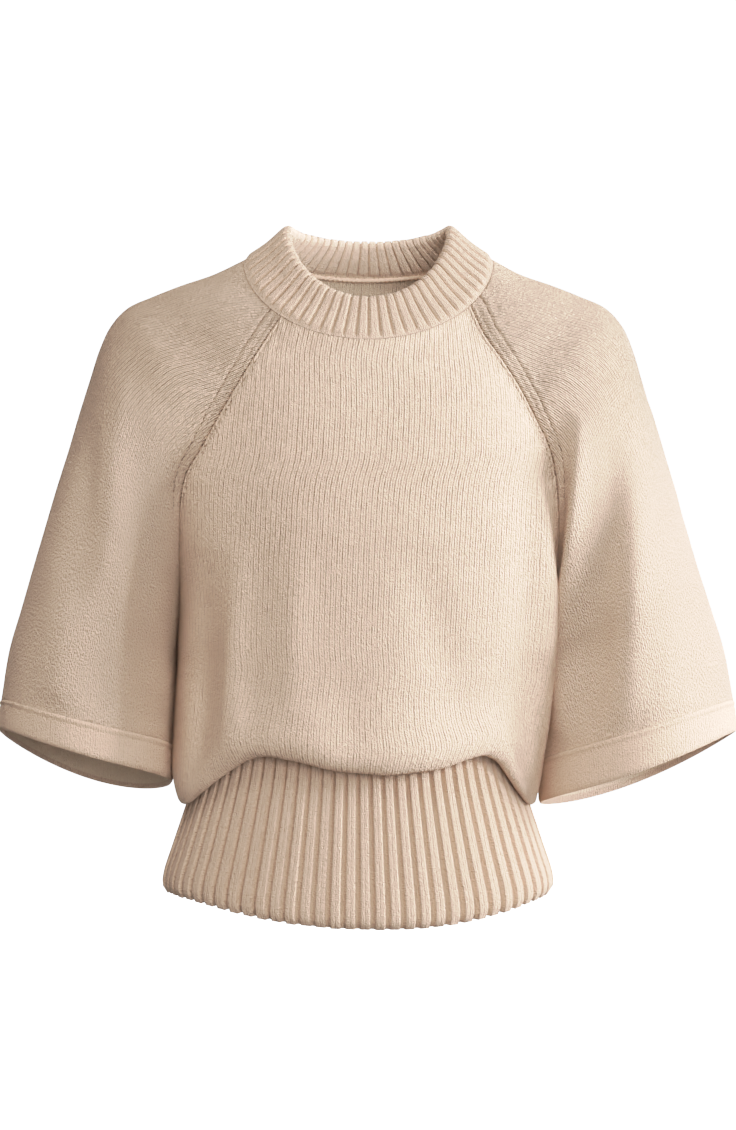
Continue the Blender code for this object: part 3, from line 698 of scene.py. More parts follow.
def groove_line(run):
    """Distance from the seam to the dotted groove on the sleeve, by the run down the seam."""
    return np.interp(run, (0, 60, 190), (12.5, 11.0, 7.0))


def lines_of_relief(lines, beside):
    """Lift of a few soft ridges and grooves that run along a seam."""
    return sum(height * mound(beside, centre, width) for height, centre, width in lines)


def raglan_relief(beside, run, on_sleeve):
    """Lift of the cloth beside a raglan seam, in millimetres."""
    strong = 1 - ease(run, RAGLAN_END - 45, RAGLAN_END + 10)
    lift = -SEAM_DEPTH * mound(beside, 0, 0.8) * (0.35 + 0.65 * strong)
    if on_sleeve:
        groove = groove_line(run) + 0.35 * (np.sin(run / 5.1) + np.sin(run / 3.3 + 1.7))
        lift += strong * lines_of_relief(LINES_FROM_SEAM, beside)
        lift += strong * lines_of_relief(LINES_FROM_GROOVE, beside - groove)
        lift += strong * 0.35 * mound(beside, (groove + 4.6) / 2, 2.4)
        dimple = np.sin(run / 8.7 + 0.6) * np.sin(run / 5.3)
        lift -= strong * 0.80 * np.maximum(dimple, 0) * mound(beside, groove + 6.5, 3.4)
    else:
        lift += strong * lines_of_relief(LINES_ON_BODY, beside)
        slanted = np.sin((run - 1.1 * beside) / 2.9 + 1.6 * np.sin(run / 11.0))
        lift += strong * 0.24 * slanted * mound(beside, 7.5, 4.5)
        pucker = np.sin(run / 7.3 + 0.9) * np.sin(run / 4.6)
        lift -= strong * 0.60 * np.maximum(pucker, 0) * mound(beside, 9.0, 4.0)
    return lift


print("deepest seam:", round(float(raglan_relief(np.zeros(1), np.zeros(1), True)[0]), 2), "mm")

# %% [markdown]
# ## Facings that agree
# Each panel is thickened along its own facing, so two panels that meet have to face the same way
# at their seam, or a slit opens between them. The neck ring gives one facing, two neighbours share
# the mean of theirs along the raglan, and below the underarm both edges face straight sideways.

# %% Facings at the seams
# angles round the neck between which each piece is linked to the collar
NECK_ARCS = {
    "front": (-RAGLAN_ANGLE["left"], RAGLAN_ANGLE["right"]),
    "back": (180 - RAGLAN_ANGLE["right"], 180 + RAGLAN_ANGLE["left"]),
    "right": (RAGLAN_ANGLE["right"], 180 - RAGLAN_ANGLE["right"]),
    "left": (180 + RAGLAN_ANGLE["left"], 360 - RAGLAN_ANGLE["left"]),
}


def share_facing(first, first_edge, second, second_edge):
    """Give two panels one facing along their common raglan seam."""
    at_first = places_down[first]
    at_second = places_down[second]
    a = normals[first][:, first_edge].copy()
    b = normals[second][:, second_edge].copy()
    b_at_a = np.stack([np.interp(at_first, at_second, b[:, k]) for k in range(3)], axis=1)
    a_at_b = np.stack([np.interp(at_second, at_first, a[:, k]) for k in range(3)], axis=1)
    above = at_first <= LAST_RAGLAN
    normals[first][above, first_edge] = unit(a + b_at_a)[above]
    above = at_second <= LAST_RAGLAN
    normals[second][above, second_edge] = unit(b + a_at_b)[above]


def level_side(name, edge):
    """Turn the facings at a side seam sideways, so that the two edges there agree."""
    below = places_down[name] > LAST_RAGLAN
    flat = normals[name][:, edge] * (1, 0, 1)
    normals[name][below, edge] = unit(flat)[below]


normals = {name: facing(grid) for name, grid in grids.items()}
for name, angles in NECK_ARCS.items():
    normals[name][0] = neck_facing(np.interp(crowded(grids[name].shape[1]), (0, 1), angles))
share_facing("front", 0, "left", -1)
share_facing("front", -1, "right", 0)
share_facing("back", 0, "right", -1)
share_facing("back", -1, "left", 0)
for name in grids:
    level_side(name, 0)
    level_side(name, -1)
print("facings are shared along", len(grids), "raglan seams")

# %% [markdown]
# ## Folds and relief on the panels
# Both are only a lift along the facing, so they can be added up. The folds fade out at the seams,
# at the bottom of the pouch and at the sleeve's end, where other pieces have to fit. The cloth is
# also a little fuller beside the side seams, as it is where two edges are linked.

# %% Shaped panels
SIDE_FULLNESS = 1.4


def shaped(name, grid, folds, on_sleeve):
    """A panel with its folds and the relief of its seams."""
    beside, run = seams[name]
    place = places_down[name]
    lift = fold_lift(folds, grid) * ease(beside, 0, 20)
    if not on_sleeve:
        lift *= 1 - ease(place, LAST_RAGLAN + 3.5, LAST_RAGLAN + 7.0)[:, None]
        low = ease(place, LAST_RAGLAN + 1, LAST_RAGLAN + 2)
        low *= 1 - ease(place, LAST_RAGLAN + 4, LAST_RAGLAN + 7)
        lift += SIDE_FULLNESS * low[:, None] * mound(beside, 0, 14)
    else:
        lift *= 1 - ease(place, place[-1] - 0.5, place[-1])[:, None]
    lift += raglan_relief(beside, run, on_sleeve)
    return grid + normals[name] * lift[..., None]


folds_of = {"front": BODY_FOLDS, "back": BODY_FOLDS,
            "left": LEFT_SLEEVE_FOLDS, "right": RIGHT_SLEEVE_FOLDS}
for name, folds in folds_of.items():
    grids[name] = shaped(name, grids[name], folds, name in ("left", "right"))
    print(name, "panel is shaped")

# %% [markdown]
# ## Ribs
# A rib is two raised wales beside one sunken wale. Between the two raised wales runs a faint line.
# The columns of a rib stand close together in its valley, where the form changes fast. Knitted
# bands are never even, so each rib differs a little in height. Each band has its own steps and its
# own valley, given as shares of one rib.

# %% The shape of a rib
RIB_STEPS = np.array((0.0, 0.04, 0.08, 0.125, 0.19, 0.33, 0.5, 0.67, 0.81, 0.875, 0.92, 0.96))
COLLAR_VALLEY = (0.01, 0.20)
SPLIT_DEPTH = 0.06
OUTLINE_SAMPLES = 3601
COLLAR_RIBS = 60
WAISTBAND_RIBS = 74
uneven = np.random.default_rng(11)


def rib_columns(outline, ribs, steps_in_rib):
    """Angles of the columns, spaced evenly along an outline, and their place in the rib count."""
    fine = np.linspace(0, 360, OUTLINE_SAMPLES)
    steps = np.linalg.norm(np.diff(outline(fine), axis=0), axis=1)
    length = np.concatenate([[0], np.cumsum(steps)])
    count = (np.arange(ribs)[:, None] + steps_in_rib).ravel()
    return np.interp(count / ribs * length[-1], length, fine), count


def rib_relief(count, ribs, valley):
    """Height from 0 in the valley to 1 on the rib, for columns given by their rib count."""
    share = count % 1
    valley = 1 - ease(np.minimum(share, 1 - share), *valley)
    split = SPLIT_DEPTH * mound(share, 0.5, 0.055)
    scale = 1 + 0.10 * uneven.standard_normal(ribs)[count.astype(int)]
    return (1 - valley - split) * scale


print("a rib is drawn by", len(RIB_STEPS), "columns")

# %% [markdown]
# ## Collar
# The funnel collar is a strip of rib folded in half and linked on at the neck. Its profile goes up
# the inside, over the rounded fold and down the outside. The ribs fan out because the neck seam is
# longer than the top edge, and they fade into a flat chain just above the seam.

# %% Collar
COLLAR_WALL = 4.4
COLLAR_RIB_HEIGHT = 2.1
COLLAR_BULGE = -1.2
COLLAR_SEAM_GAP = 0.5
collar_angle, collar_count = rib_columns(lambda a: neck_ring(NECK_SEAM, a), COLLAR_RIBS, RIB_STEPS)


def collar_grid():
    """Closed profile of the collar at every column, and the relief to lift it by."""
    seam = neck_ring(NECK_SEAM, collar_angle)
    top = neck_ring(COLLAR_TOP, collar_angle)
    middle = (seam + top) / 2
    normals = -facing(np.array([seam, middle, top]), True)
    normals[0] = neck_facing(collar_angle)
    climb = unit(top - seam)
    seam = seam + climb * COLLAR_SEAM_GAP / 2
    middle = middle + normals[1] * COLLAR_BULGE
    shoulder = top - climb * COLLAR_WALL / 2
    profile = (
        seam - normals[0] * COLLAR_WALL,
        middle - normals[1] * COLLAR_WALL,
        shoulder - normals[2] * COLLAR_WALL,
        top - normals[2] * 0.78 * COLLAR_WALL - climb * 0.10 * COLLAR_WALL,
        top - normals[2] * 0.50 * COLLAR_WALL + climb * 0.05 * COLLAR_WALL,
        top - normals[2] * 0.22 * COLLAR_WALL - climb * 0.10 * COLLAR_WALL,
        shoulder,
        middle,
        seam,
    )
    grid, _ = through(np.array(profile), 1.9)
    steps = np.linalg.norm(np.diff(grid, axis=0), axis=-1)
    along = np.concatenate([np.zeros((1, grid.shape[1])), np.cumsum(steps, axis=0)])
    left_over = along[-1] - along
    fade = ease(left_over, 1.2, 6.5) * ease(along, 2.0, 6.0)
    return grid, along, fade * rib_relief(collar_count, COLLAR_RIBS, COLLAR_VALLEY)


collar, collar_along, collar_relief = collar_grid()
collar = collar + facing(collar, True) * collar_relief[..., None] * COLLAR_RIB_HEIGHT
print("collar grid:", collar.shape[:2])

# %% [markdown]
# ## Waistband
# The band hangs from a seam inside the pouch and widens towards the hips. The ribs run its whole
# depth, and their ends scallop the hem. Its inside stays nearly plain.

# %% Waistband
WAISTBAND_WALL = 2.2
WAISTBAND_RIB_HEIGHT = 2.9
BAND_STEPS = np.array((0.0, 0.09, 0.13, 0.17, 0.22, 0.35, 0.5, 0.65, 0.78, 0.83, 0.87, 0.91))
BAND_VALLEY = (0.09, 0.22)
BAND_LEVELS = (0.0, 0.30, 0.54, 0.75, 0.91, 0.965, 0.992)
HEM_ROUNDING = 0.55


def band_outline(angle):
    """The band's outline half way down, which spaces the ribs."""
    level = np.full(angle.shape, (WAISTBAND_TOP_Z + HEM_Z["side"]) / 2)
    return waist_outline(angle, level, HEM_Z["side"], 0.0)


band_angle, band_count = rib_columns(band_outline, WAISTBAND_RIBS, BAND_STEPS)


def waistband_grid():
    """Closed profile of the band at every column, and the relief to lift it by."""
    hem_z = hem_height(band_angle)
    levels = []
    for share in (*BAND_LEVELS, 1.0):
        z = WAISTBAND_TOP_Z + share * (hem_z - WAISTBAND_TOP_Z)
        levels.append(waist_outline(band_angle, z, hem_z, 0.0))
    levels = np.array(levels)
    normals = facing(levels, True)
    normals[0, :, 2] = 0
    normals[0] = unit(normals[0])
    outer, _ = through(levels[:-1], 4.2)
    hem = levels[-1] - normals[-1] * WAISTBAND_WALL * HEM_ROUNDING
    inner = (levels[:-1] - normals[:-1] * WAISTBAND_WALL)[::-1]
    grid = np.concatenate([outer, hem[None], inner])
    strength = np.ones(len(grid))
    strength[len(outer)] = 0.75
    strength[len(outer) + 1:] = -0.10
    relief = rib_relief(band_count, WAISTBAND_RIBS, BAND_VALLEY)
    return grid, strength[:, None] * relief, len(outer)


waistband, band_relief, band_outer_rows = waistband_grid()
band_facing = facing(waistband, True)
band_facing[band_outer_rows] = unit(band_facing[band_outer_rows - 1] * (1, 1, 0.4))
waistband = waistband + band_facing * np.maximum(band_relief, 0)[..., None] * WAISTBAND_RIB_HEIGHT
print("waistband grid:", waistband.shape[:2])

# %% [markdown]
# ## Sleeve hems
# Each sleeve ends in a plain band of doubled knit. A fine raised line shows where it is linked to
# the sleeve, and its lower fold is round. The band hangs open, and the far side of it is seen from
# within. One profile is carried round the opening, so the fold stays as thick all the way.

# %% Cuffs
CUFF_HEM = dict(left_outer_x=-313.5, right_outer_x=312.0, outer_z=-390.5,
                left_x=-167.0, right_x=145.2, left_z=-433.0, right_z=-451.0,
                depth=84.5, left_tilt=12.0, right_tilt=9.0, sag=9.0)
CUFF_COLUMNS = 240
# profile of the cuff: how far down, and how proud of the sleeve's own line
CUFF_PROFILE = table(
    "share proud",
    (-0.004, -0.5),
    (0.035, 0.35),
    (0.075, 1.05),
    (0.125, 0.95),
    (0.165, 0.25),
    (0.24, 0.65),
    (0.50, 0.8),
    (0.80, 0.75),
    (0.94, 0.35),
    (1.0, -0.9),
    (0.94, -2.3),
    (0.80, -2.75),
    (0.45, -2.9),
    (-0.004, -2.9),
)


def cuff_grid(name):
    """Closed profile of a cuff round the sleeve's opening."""
    side = 1 if name == "right" else -1
    spread = np.linspace(-1, 1, CUFF_COLUMNS + 1)[:-1]
    droop = np.sin(np.pi * spread) ** 2
    outer_x = SLEEVE_LINE[name + "_outer_x"][-1]
    seam_outer = np.array([outer_x, SLEEVE_Y, SLEEVE_LINE["outer_z"][-1]])
    hem_outer = np.array([CUFF_HEM[name + "_outer_x"], SLEEVE_Y, CUFF_HEM["outer_z"]])
    top = seam_ends(UNDERARM[name + "_x"][-1], UNDERARM[name + "_z"][-1], UNDERARM["tilt"][-1])
    foot = seam_ends(CUFF_HEM[name + "_x"], CUFF_HEM[name + "_z"], CUFF_HEM[name + "_tilt"])
    seam = sleeve_section(*top, seam_outer, SLEEVE_LINE["depth"][-1], False, spread)
    hem = sleeve_section(*foot, hem_outer, CUFF_HEM["depth"], False, spread)
    seam[:, 2] -= UNDERARM["sag"][-1] * droop
    hem[:, 2] -= CUFF_HEM["sag"] * droop
    rings = np.array([seam, (seam + hem) / 2, hem])
    if side < 0:
        rings = rings[:, ::-1]
    normals = facing(rings, True).mean(axis=0)
    seam, hem = rings[0], rings[2]
    profile = [seam + (hem - seam) * share + unit(normals) * proud
               for share, proud in zip(CUFF_PROFILE["share"], CUFF_PROFILE["proud"])]
    return through(np.array(profile), 1.6)[0]


cuff_left = cuff_grid("left")
cuff_right = cuff_grid("right")
print("cuff grid:", cuff_left.shape[:2])

# %% [markdown]
# ## From grids to cloth
# A grid becomes a mesh in metres. The outside and the inside get materials of their own, as the
# two faces of knit differ. The knit coordinates go into a UV map, and other numbers that a
# material needs, such as the distance from a seam, are noted on the points.


# %% Meshes from points
def new_piece(name, points, faces, inside):
    """Make a mesh object in metres from points and faces; inside marks the inner faces."""
    mesh = bpy.data.meshes.new(name)
    mesh.from_pydata(points * MM, [], faces)
    mesh.polygons.foreach_set("material_index", np.asarray(inside, dtype=np.int32))
    mesh.shade_smooth()
    mesh.set_sharp_from_angle(angle=np.radians(70))
    piece = bpy.data.objects.new(name, mesh)
    bpy.context.scene.collection.objects.link(piece)
    return piece


def lay_knit(piece, place, turn=None):
    """Write the knit coordinates to a UV map; turn closes the round of a band."""
    mesh = piece.data
    corner = np.empty(len(mesh.loops), dtype=np.int32)
    mesh.loops.foreach_get("vertex_index", corner)
    uv = place[corner]
    if turn:
        faces = uv.reshape(-1, 4, 2)
        wraps = np.ptp(faces[..., 0], axis=1) > turn / 2
        low = faces[..., 0] < turn / 2
        faces[..., 0] += turn * (wraps[:, None] & low)
        uv = faces.reshape(-1, 2)
    layer = mesh.uv_layers.new(name="knit")
    layer.data.foreach_set("uv", uv.astype(np.float32).ravel())


def note(piece, name, values):
    """Write one number for each point of a piece, which its material can read."""
    attribute = piece.data.attributes.new(name, "FLOAT", "POINT")
    attribute.data.foreach_set("value", values.astype(np.float32).ravel())


print("a mesh is drawn in metres, so the points are scaled by", MM)

# %% [markdown]
# ## Panels
# A panel gets a second, coarser grid on its inside, one wall away, and rims round its four edges,
# so that it is a thin closed shell. Only the outside shows fine relief, so only it has fine faces.

# %% Panels as shells
PANEL_WALL = 2.0


def thinned(count, step):
    """Every few indexes of a row, with the last one kept."""
    picks = list(range(0, count - 1, step))
    return np.array(picks + [count - 1])


def between(picks):
    """Neighbouring pairs of a list."""
    return list(zip(picks[:-1].tolist(), picks[1:].tolist()))


def panel(name, outer, normals, place, beside, run, painted_shade, clear):
    """A panel: fine outside, coarser inside and rims, with its coordinates for the material."""
    rows, columns = outer.shape[:2]
    row_picks = thinned(rows, 2)
    column_picks = thinned(columns, 3)
    inner = (outer - normals * PANEL_WALL)[np.ix_(row_picks, column_picks)]
    index = np.arange(rows * columns).reshape(rows, columns)
    within = np.arange(inner[..., 0].size).reshape(inner.shape[:2]) + rows * columns
    outside = np.stack([index[:-1, :-1], index[1:, :-1], index[1:, 1:], index[:-1, 1:]], axis=-1)
    inside = np.stack([within[:-1, :-1], within[:-1, 1:],
                       within[1:, 1:], within[1:, :-1]], axis=-1)
    faces = outside.reshape(-1, 4).tolist() + inside.reshape(-1, 4).tolist()
    sides = [0] * outside[..., 0].size + [1] * inside[..., 0].size
    for n, (a, b) in enumerate(between(column_picks)):
        faces.append([*index[0, a:b + 1], within[0, n + 1], within[0, n]])
        faces.append([within[-1, n], within[-1, n + 1], *index[-1, a:b + 1][::-1]])
    for n, (a, b) in enumerate(between(row_picks)):
        faces.append([within[n, 0], within[n + 1, 0], *index[a:b + 1, 0][::-1]])
        faces.append([*index[a:b + 1, -1], within[n + 1, -1], within[n, -1]])
    sides += [0] * (len(faces) - len(sides))
    points = np.concatenate([outer.reshape(-1, 3), inner.reshape(-1, 3)])
    piece = new_piece(name, points, faces, sides)
    picked = np.ix_(row_picks, column_picks)
    lay_knit(piece, np.concatenate([place.reshape(-1, 2), place[picked].reshape(-1, 2)]))
    far = np.ones(inner[..., 0].size)
    note(piece, "beside", np.concatenate([beside.ravel() * MM, far]))
    note(piece, "run", np.concatenate([run.ravel() * MM, far]))
    note(piece, "painted_shade", np.concatenate([painted_shade.ravel(), 0 * far]))
    note(piece, "clear", np.concatenate([clear.ravel(), far]))
    return piece


print("a panel has a wall of", PANEL_WALL, "mm")

# %% [markdown]
# ## Bands
# A band is closed already, because its profile goes all the way round and so does its outline. Its
# faces need no rims: the last row joins the first, and the last column joins the first.


# %% Bands as shells
def band(name, grid, place, turn, painted_shade, inside_rows, clear):
    """A band: a grid closed round the body and round its own profile."""
    rows, columns = grid.shape[:2]
    index = np.arange(rows * columns).reshape(rows, columns)
    below = np.roll(index, -1, axis=0)
    beyond = np.roll(index, -1, axis=1)
    corner = np.roll(below, -1, axis=1)
    faces = np.stack([index, below, corner, beyond], axis=-1).reshape(-1, 4)
    inside = np.repeat(np.isin(np.arange(rows), inside_rows).astype(int), columns)
    piece = new_piece(name, grid.reshape(-1, 3), faces.tolist(), inside)
    lay_knit(piece, place.reshape(-1, 2), turn)
    note(piece, "painted_shade", painted_shade.ravel())
    note(piece, "clear", np.full(painted_shade.size, clear))
    return piece


print("bands close after their last row and column")

# %% [markdown]
# ## Clear wales and shaded seams
# Each panel notes how clear its wales are: crisp on the upper chest and over the shoulders, and
# soft near the sides, on the pouch and down the sleeves; this sets both the relief of the valleys
# and their painted shade. A second number notes painted shade where the cloth is shaded by its
# neighbour: at the seams, and in the deep crease between the left sleeve and the body.


# %% How clear the wales are
def clearness(grid, name):
    """How clear the wales are: most on the upper chest and back, least low down and on sleeves."""
    if name in ("left", "right"):
        return 0.50 + 2.50 * mound(grid[..., 2], -75, 75)
    height = 0.85 + 0.35 * ease(grid[..., 2], -330, -180)
    height *= 0.75 + 0.25 * ease(grid[..., 2], -450, -380)
    across = 0.65 + 0.35 * ease(grid[..., 0], -125, -50) - 0.35 * ease(grid[..., 0], 60, 120)
    return height * across


def shade(grid, beside):
    """How much of the light is lost at the seams and in the crease beside the left sleeve."""
    # painted shade along the raglan and side seams, and along the neck seam
    painted_shade = 0.5 * mound(beside, 0, 1.0)
    painted_shade = np.maximum(painted_shade, 0.5 * mound(np.arange(len(grid)) * ROW_SPACING, 0, 1.6)[:, None])
    # painted shade in the crease beside the left sleeve: on the left side only, growing from the
    # chest down
    depth = np.where(grid[..., 0] < 0, 1.25, 0.0) * (1 - ease(grid[..., 2], -320, -190))
    return np.maximum(painted_shade, depth * mound(beside, 0, 19))


for name, grid in grids.items():
    grid[0] += unit(grid[1] - grid[0]) * COLLAR_SEAM_GAP / 2
    print(name, "wales are clear by", round(float(clearness(grid, name).mean()), 2))

# %% [markdown]
# ## The big pieces
# Front, back and sleeves become cloth here. All four are knitted to shape and linked edge to edge,
# so each is made by the same function. The distance from the seam is negative on the body and
# positive on a sleeve, so the materials can tell the two sides of a raglan apart.

# %% Front, back and sleeves
names = {"front": "front", "back": "back", "left": "sleeve_left", "right": "sleeve_right"}
pieces = {}
for name, grid in grids.items():
    beside, run = seams[name]
    signed = beside if name in ("left", "right") else -beside
    pieces[names[name]] = panel(names[name] + "_knit", grid, normals[name], places[name],
                                signed, run, shade(grid, beside), clearness(grid, name))
    print(names[name], len(pieces[names[name]].data.polygons), "faces")

# %% [markdown]
# ## Collar, waistband and cuffs as cloth
# The knit coordinates of a rib count whole ribs: three wales fill one rib, and the valley falls on
# the middle of one of them, so the drawn stitches sit on the ribs however these fan out. The
# valleys also get painted shade, because little light reaches them; on the waistband it is
# strongest along one wall of each valley.

# %% Collar and waistband as cloth
COLLAR_PITCH = 0.0088
BAND_PITCH = 0.0122


def rib_place(count, along, pitch):
    """Knit coordinates of a rib: three wales a rib, with the valley in the middle of one."""
    across = (count + 1 / 6) * pitch
    return np.stack([np.broadcast_to(across, along.shape), along], axis=-1)


def path_length(grid):
    """Distance along the profile at each point of a band, in metres."""
    steps = np.linalg.norm(np.diff(grid, axis=0), axis=-1)
    return np.concatenate([np.zeros((1, grid.shape[1])), np.cumsum(steps, axis=0)]) * MM


collar_place = rib_place(collar_count, collar_along * MM, COLLAR_PITCH)
share = collar_count % 1
# painted shade in the valleys of the collar's ribs, faded out where the ribs fade
collar_painted_shade = 1.0 * mound(np.minimum(share, 1 - share), 0, 0.085) * np.ones(collar.shape[:2])
collar_painted_shade *= ease(collar_relief.max(axis=1), 0.1, 0.9)[:, None]
pieces["collar"] = band("collar_knit", collar, collar_place, COLLAR_RIBS * COLLAR_PITCH,
                        collar_painted_shade, range(len(collar) // 2), 0.5)
share = band_count % 1
# painted shade in the band's valleys, darkest along one wall of each
band_painted_shade = 0.65 * mound(np.minimum(share, 1 - share), 0, 0.16) + 0.35 * mound(share, 0.13, 0.03)
band_painted_shade = band_painted_shade * np.ones(waistband.shape[:2])
band_painted_shade[band_outer_rows + 1:] = 0
waistband_place = rib_place(band_count, path_length(waistband), BAND_PITCH)
pieces["waistband"] = band("waistband_knit", waistband, waistband_place,
                           WAISTBAND_RIBS * BAND_PITCH, band_painted_shade,
                           range(band_outer_rows + 1, len(waistband)), 0.5)
print("ribs:", COLLAR_RIBS, "on the collar,", WAISTBAND_RIBS, "on the waistband")

# %% [markdown]
# ## Cuffs as cloth
# A cuff has no ribs. Its coordinates are plain lengths, round the opening and along the profile.
# Two lines get painted shade: the seam itself, and the fine groove below its raised line.

# %% Cuffs as shells
for name, grid in (("cuff_left", cuff_left), ("cuff_right", cuff_right)):
    steps = np.linalg.norm(np.roll(grid, -1, axis=1) - grid, axis=-1).mean(axis=0)
    around = np.concatenate([[0], np.cumsum(steps)]) * MM
    along = path_length(grid)
    cuff_place = np.stack([np.broadcast_to(around[:-1], along.shape), along], axis=-1)
    down = along / MM
    # painted shade along the cuff seam and in the groove below its raised line
    cuff_painted_shade = 0.8 * mound(down, 0.4, 0.9) + 0.55 * mound(down, 5.4, 0.8)
    pieces[name] = band(name + "_knit", grid, cuff_place, float(around[-1]), cuff_painted_shade,
                        range(int(len(grid) * 0.6), len(grid)), 0.45)
print({name: len(piece.data.polygons) for name, piece in pieces.items()})

# %% [markdown]
# ## The chain inside the neck
# The linking that joins the collar to the body shows on the inside of the neck as a pale chain. It
# is a small twisted rope that follows the neck ring, just below the collar's inner edge.

# %% Neck chain
CHAIN_POINTS = 720
CHAIN_SIDES = 10
CHAIN_WIDTH = 2.1
CHAIN_PITCH = 4.2


def neck_chain():
    """A thin twisted rope inside the neck seam."""
    angle = np.linspace(0, 360, CHAIN_POINTS, endpoint=False)
    line = neck_ring(NECK_SEAM, angle) - neck_facing(angle) * (COLLAR_WALL - 0.6)
    down = neck_ring(NECK_SEAM, angle) - neck_ring(COLLAR_TOP, angle)
    line += unit(down) * 1.4
    ahead = unit(np.roll(line, -1, axis=0) - np.roll(line, 1, axis=0))
    out = unit(np.cross(ahead, unit(down)))
    side = np.cross(out, ahead)
    length = np.linalg.norm(np.roll(line, -1, axis=0) - line, axis=1).cumsum()
    turns = round(length[-1] / CHAIN_PITCH)
    twist = 2 * np.pi * turns * length / length[-1]
    rings = []
    for around in np.linspace(0, 2 * np.pi, CHAIN_SIDES, endpoint=False):
        swell = CHAIN_WIDTH * (1 + 0.22 * np.cos(2 * around - twist))
        rings.append(line + (np.cos(around) * out + np.sin(around) * side) * swell[:, None])
    return np.array(rings)


chain = neck_chain()
index = np.arange(chain[..., 0].size).reshape(chain.shape[:2])
beyond = np.roll(index, -1, axis=1)
faces = np.stack([index, beyond, np.roll(beyond, -1, axis=0), np.roll(index, -1, axis=0)], axis=-1)
pieces["neck_chain"] = new_piece("neck_chain", chain.reshape(-1, 3),
                                 faces.reshape(-1, 4).tolist(), np.zeros(index.size))
print("chain:", len(pieces["neck_chain"].data.polygons), "faces")

# %% [markdown]
# ## The knit as a material
# Stitches of 4 mm are too many to model, so the material draws them as relief. A pattern is built
# from small sums, and each node does one of them. A few helpers make the sums short to write.


# %% Helpers for nodes
def maths(tree, operation, *values):
    """Add one Math node, fed by numbers or by other nodes' outputs."""
    node = tree.nodes.new("ShaderNodeMath")
    node.operation = operation
    for socket, value in zip(node.inputs, values):
        if isinstance(value, (int, float)):
            socket.default_value = value
        else:
            tree.links.new(value, socket)
    return node.outputs[0]


def times(tree, first, second):
    """Product of two values."""
    return maths(tree, "MULTIPLY", first, second)


def plus(tree, first, second):
    """Sum of two values."""
    return maths(tree, "ADD", first, second)


def minus(tree, first, second):
    """Difference of two values."""
    return maths(tree, "SUBTRACT", first, second)


def rise(tree, value, low, high):
    """Nothing below low, one above high and a soft rise between them."""
    node = tree.nodes.new("ShaderNodeMapRange")
    node.interpolation_type = "SMOOTHSTEP"
    tree.links.new(value, node.inputs["Value"])
    node.inputs["From Min"].default_value = low
    node.inputs["From Max"].default_value = high
    return node.outputs["Result"]


def noise(tree, vector, scale, detail):
    """Add a Noise Texture and give its value, from nothing to one."""
    node = tree.nodes.new("ShaderNodeTexNoise")
    node.inputs["Scale"].default_value = scale
    node.inputs["Detail"].default_value = detail
    tree.links.new(vector, node.inputs["Vector"])
    return node.outputs[0]


def group(name, inputs, outputs):
    """A new shader node group with named inputs and outputs."""
    tree = bpy.data.node_groups.new(name, "ShaderNodeTree")
    for label, kind in inputs:
        tree.interface.new_socket(label, in_out="INPUT", socket_type="NodeSocket" + kind)
    for label, kind in outputs:
        tree.interface.new_socket(label, in_out="OUTPUT", socket_type="NodeSocket" + kind)
    return tree, tree.nodes.new("NodeGroupInput").outputs, tree.nodes.new("NodeGroupOutput").inputs


def bell(tree, value, width):
    """One where the value is nothing, falling off over a width."""
    ratio = maths(tree, "DIVIDE", value, width)
    return maths(tree, "EXPONENT", times(tree, times(tree, ratio, ratio), -1.0))


def attribute(tree, name):
    """Read one of the numbers noted on a piece."""
    node = tree.nodes.new("ShaderNodeAttribute")
    node.attribute_name = name
    return node.outputs["Fac"]


print("node helpers are ready")

# %% [markdown]
# ## The knit pattern
# One node group makes the pattern for all pieces: wales as ridges with narrow valleys, stitches as
# short streaks on them, and the grain of the yarn. A soft noise bends the wales, and another
# breaks their valleys, because no hand or machine knit is perfectly straight or even.


# %% Knit pattern
def streaks(tree, place, across, along, detail):
    """Noise in marks that are longer along the wales than across them, given in marks a metre."""
    stretch = tree.nodes.new("ShaderNodeVectorMath")
    stretch.operation = "MULTIPLY"
    stretch.inputs[1].default_value = (across, along, 1.0)
    tree.links.new(place, stretch.inputs[0])
    return noise(tree, stretch.outputs[0], 1.0, detail)


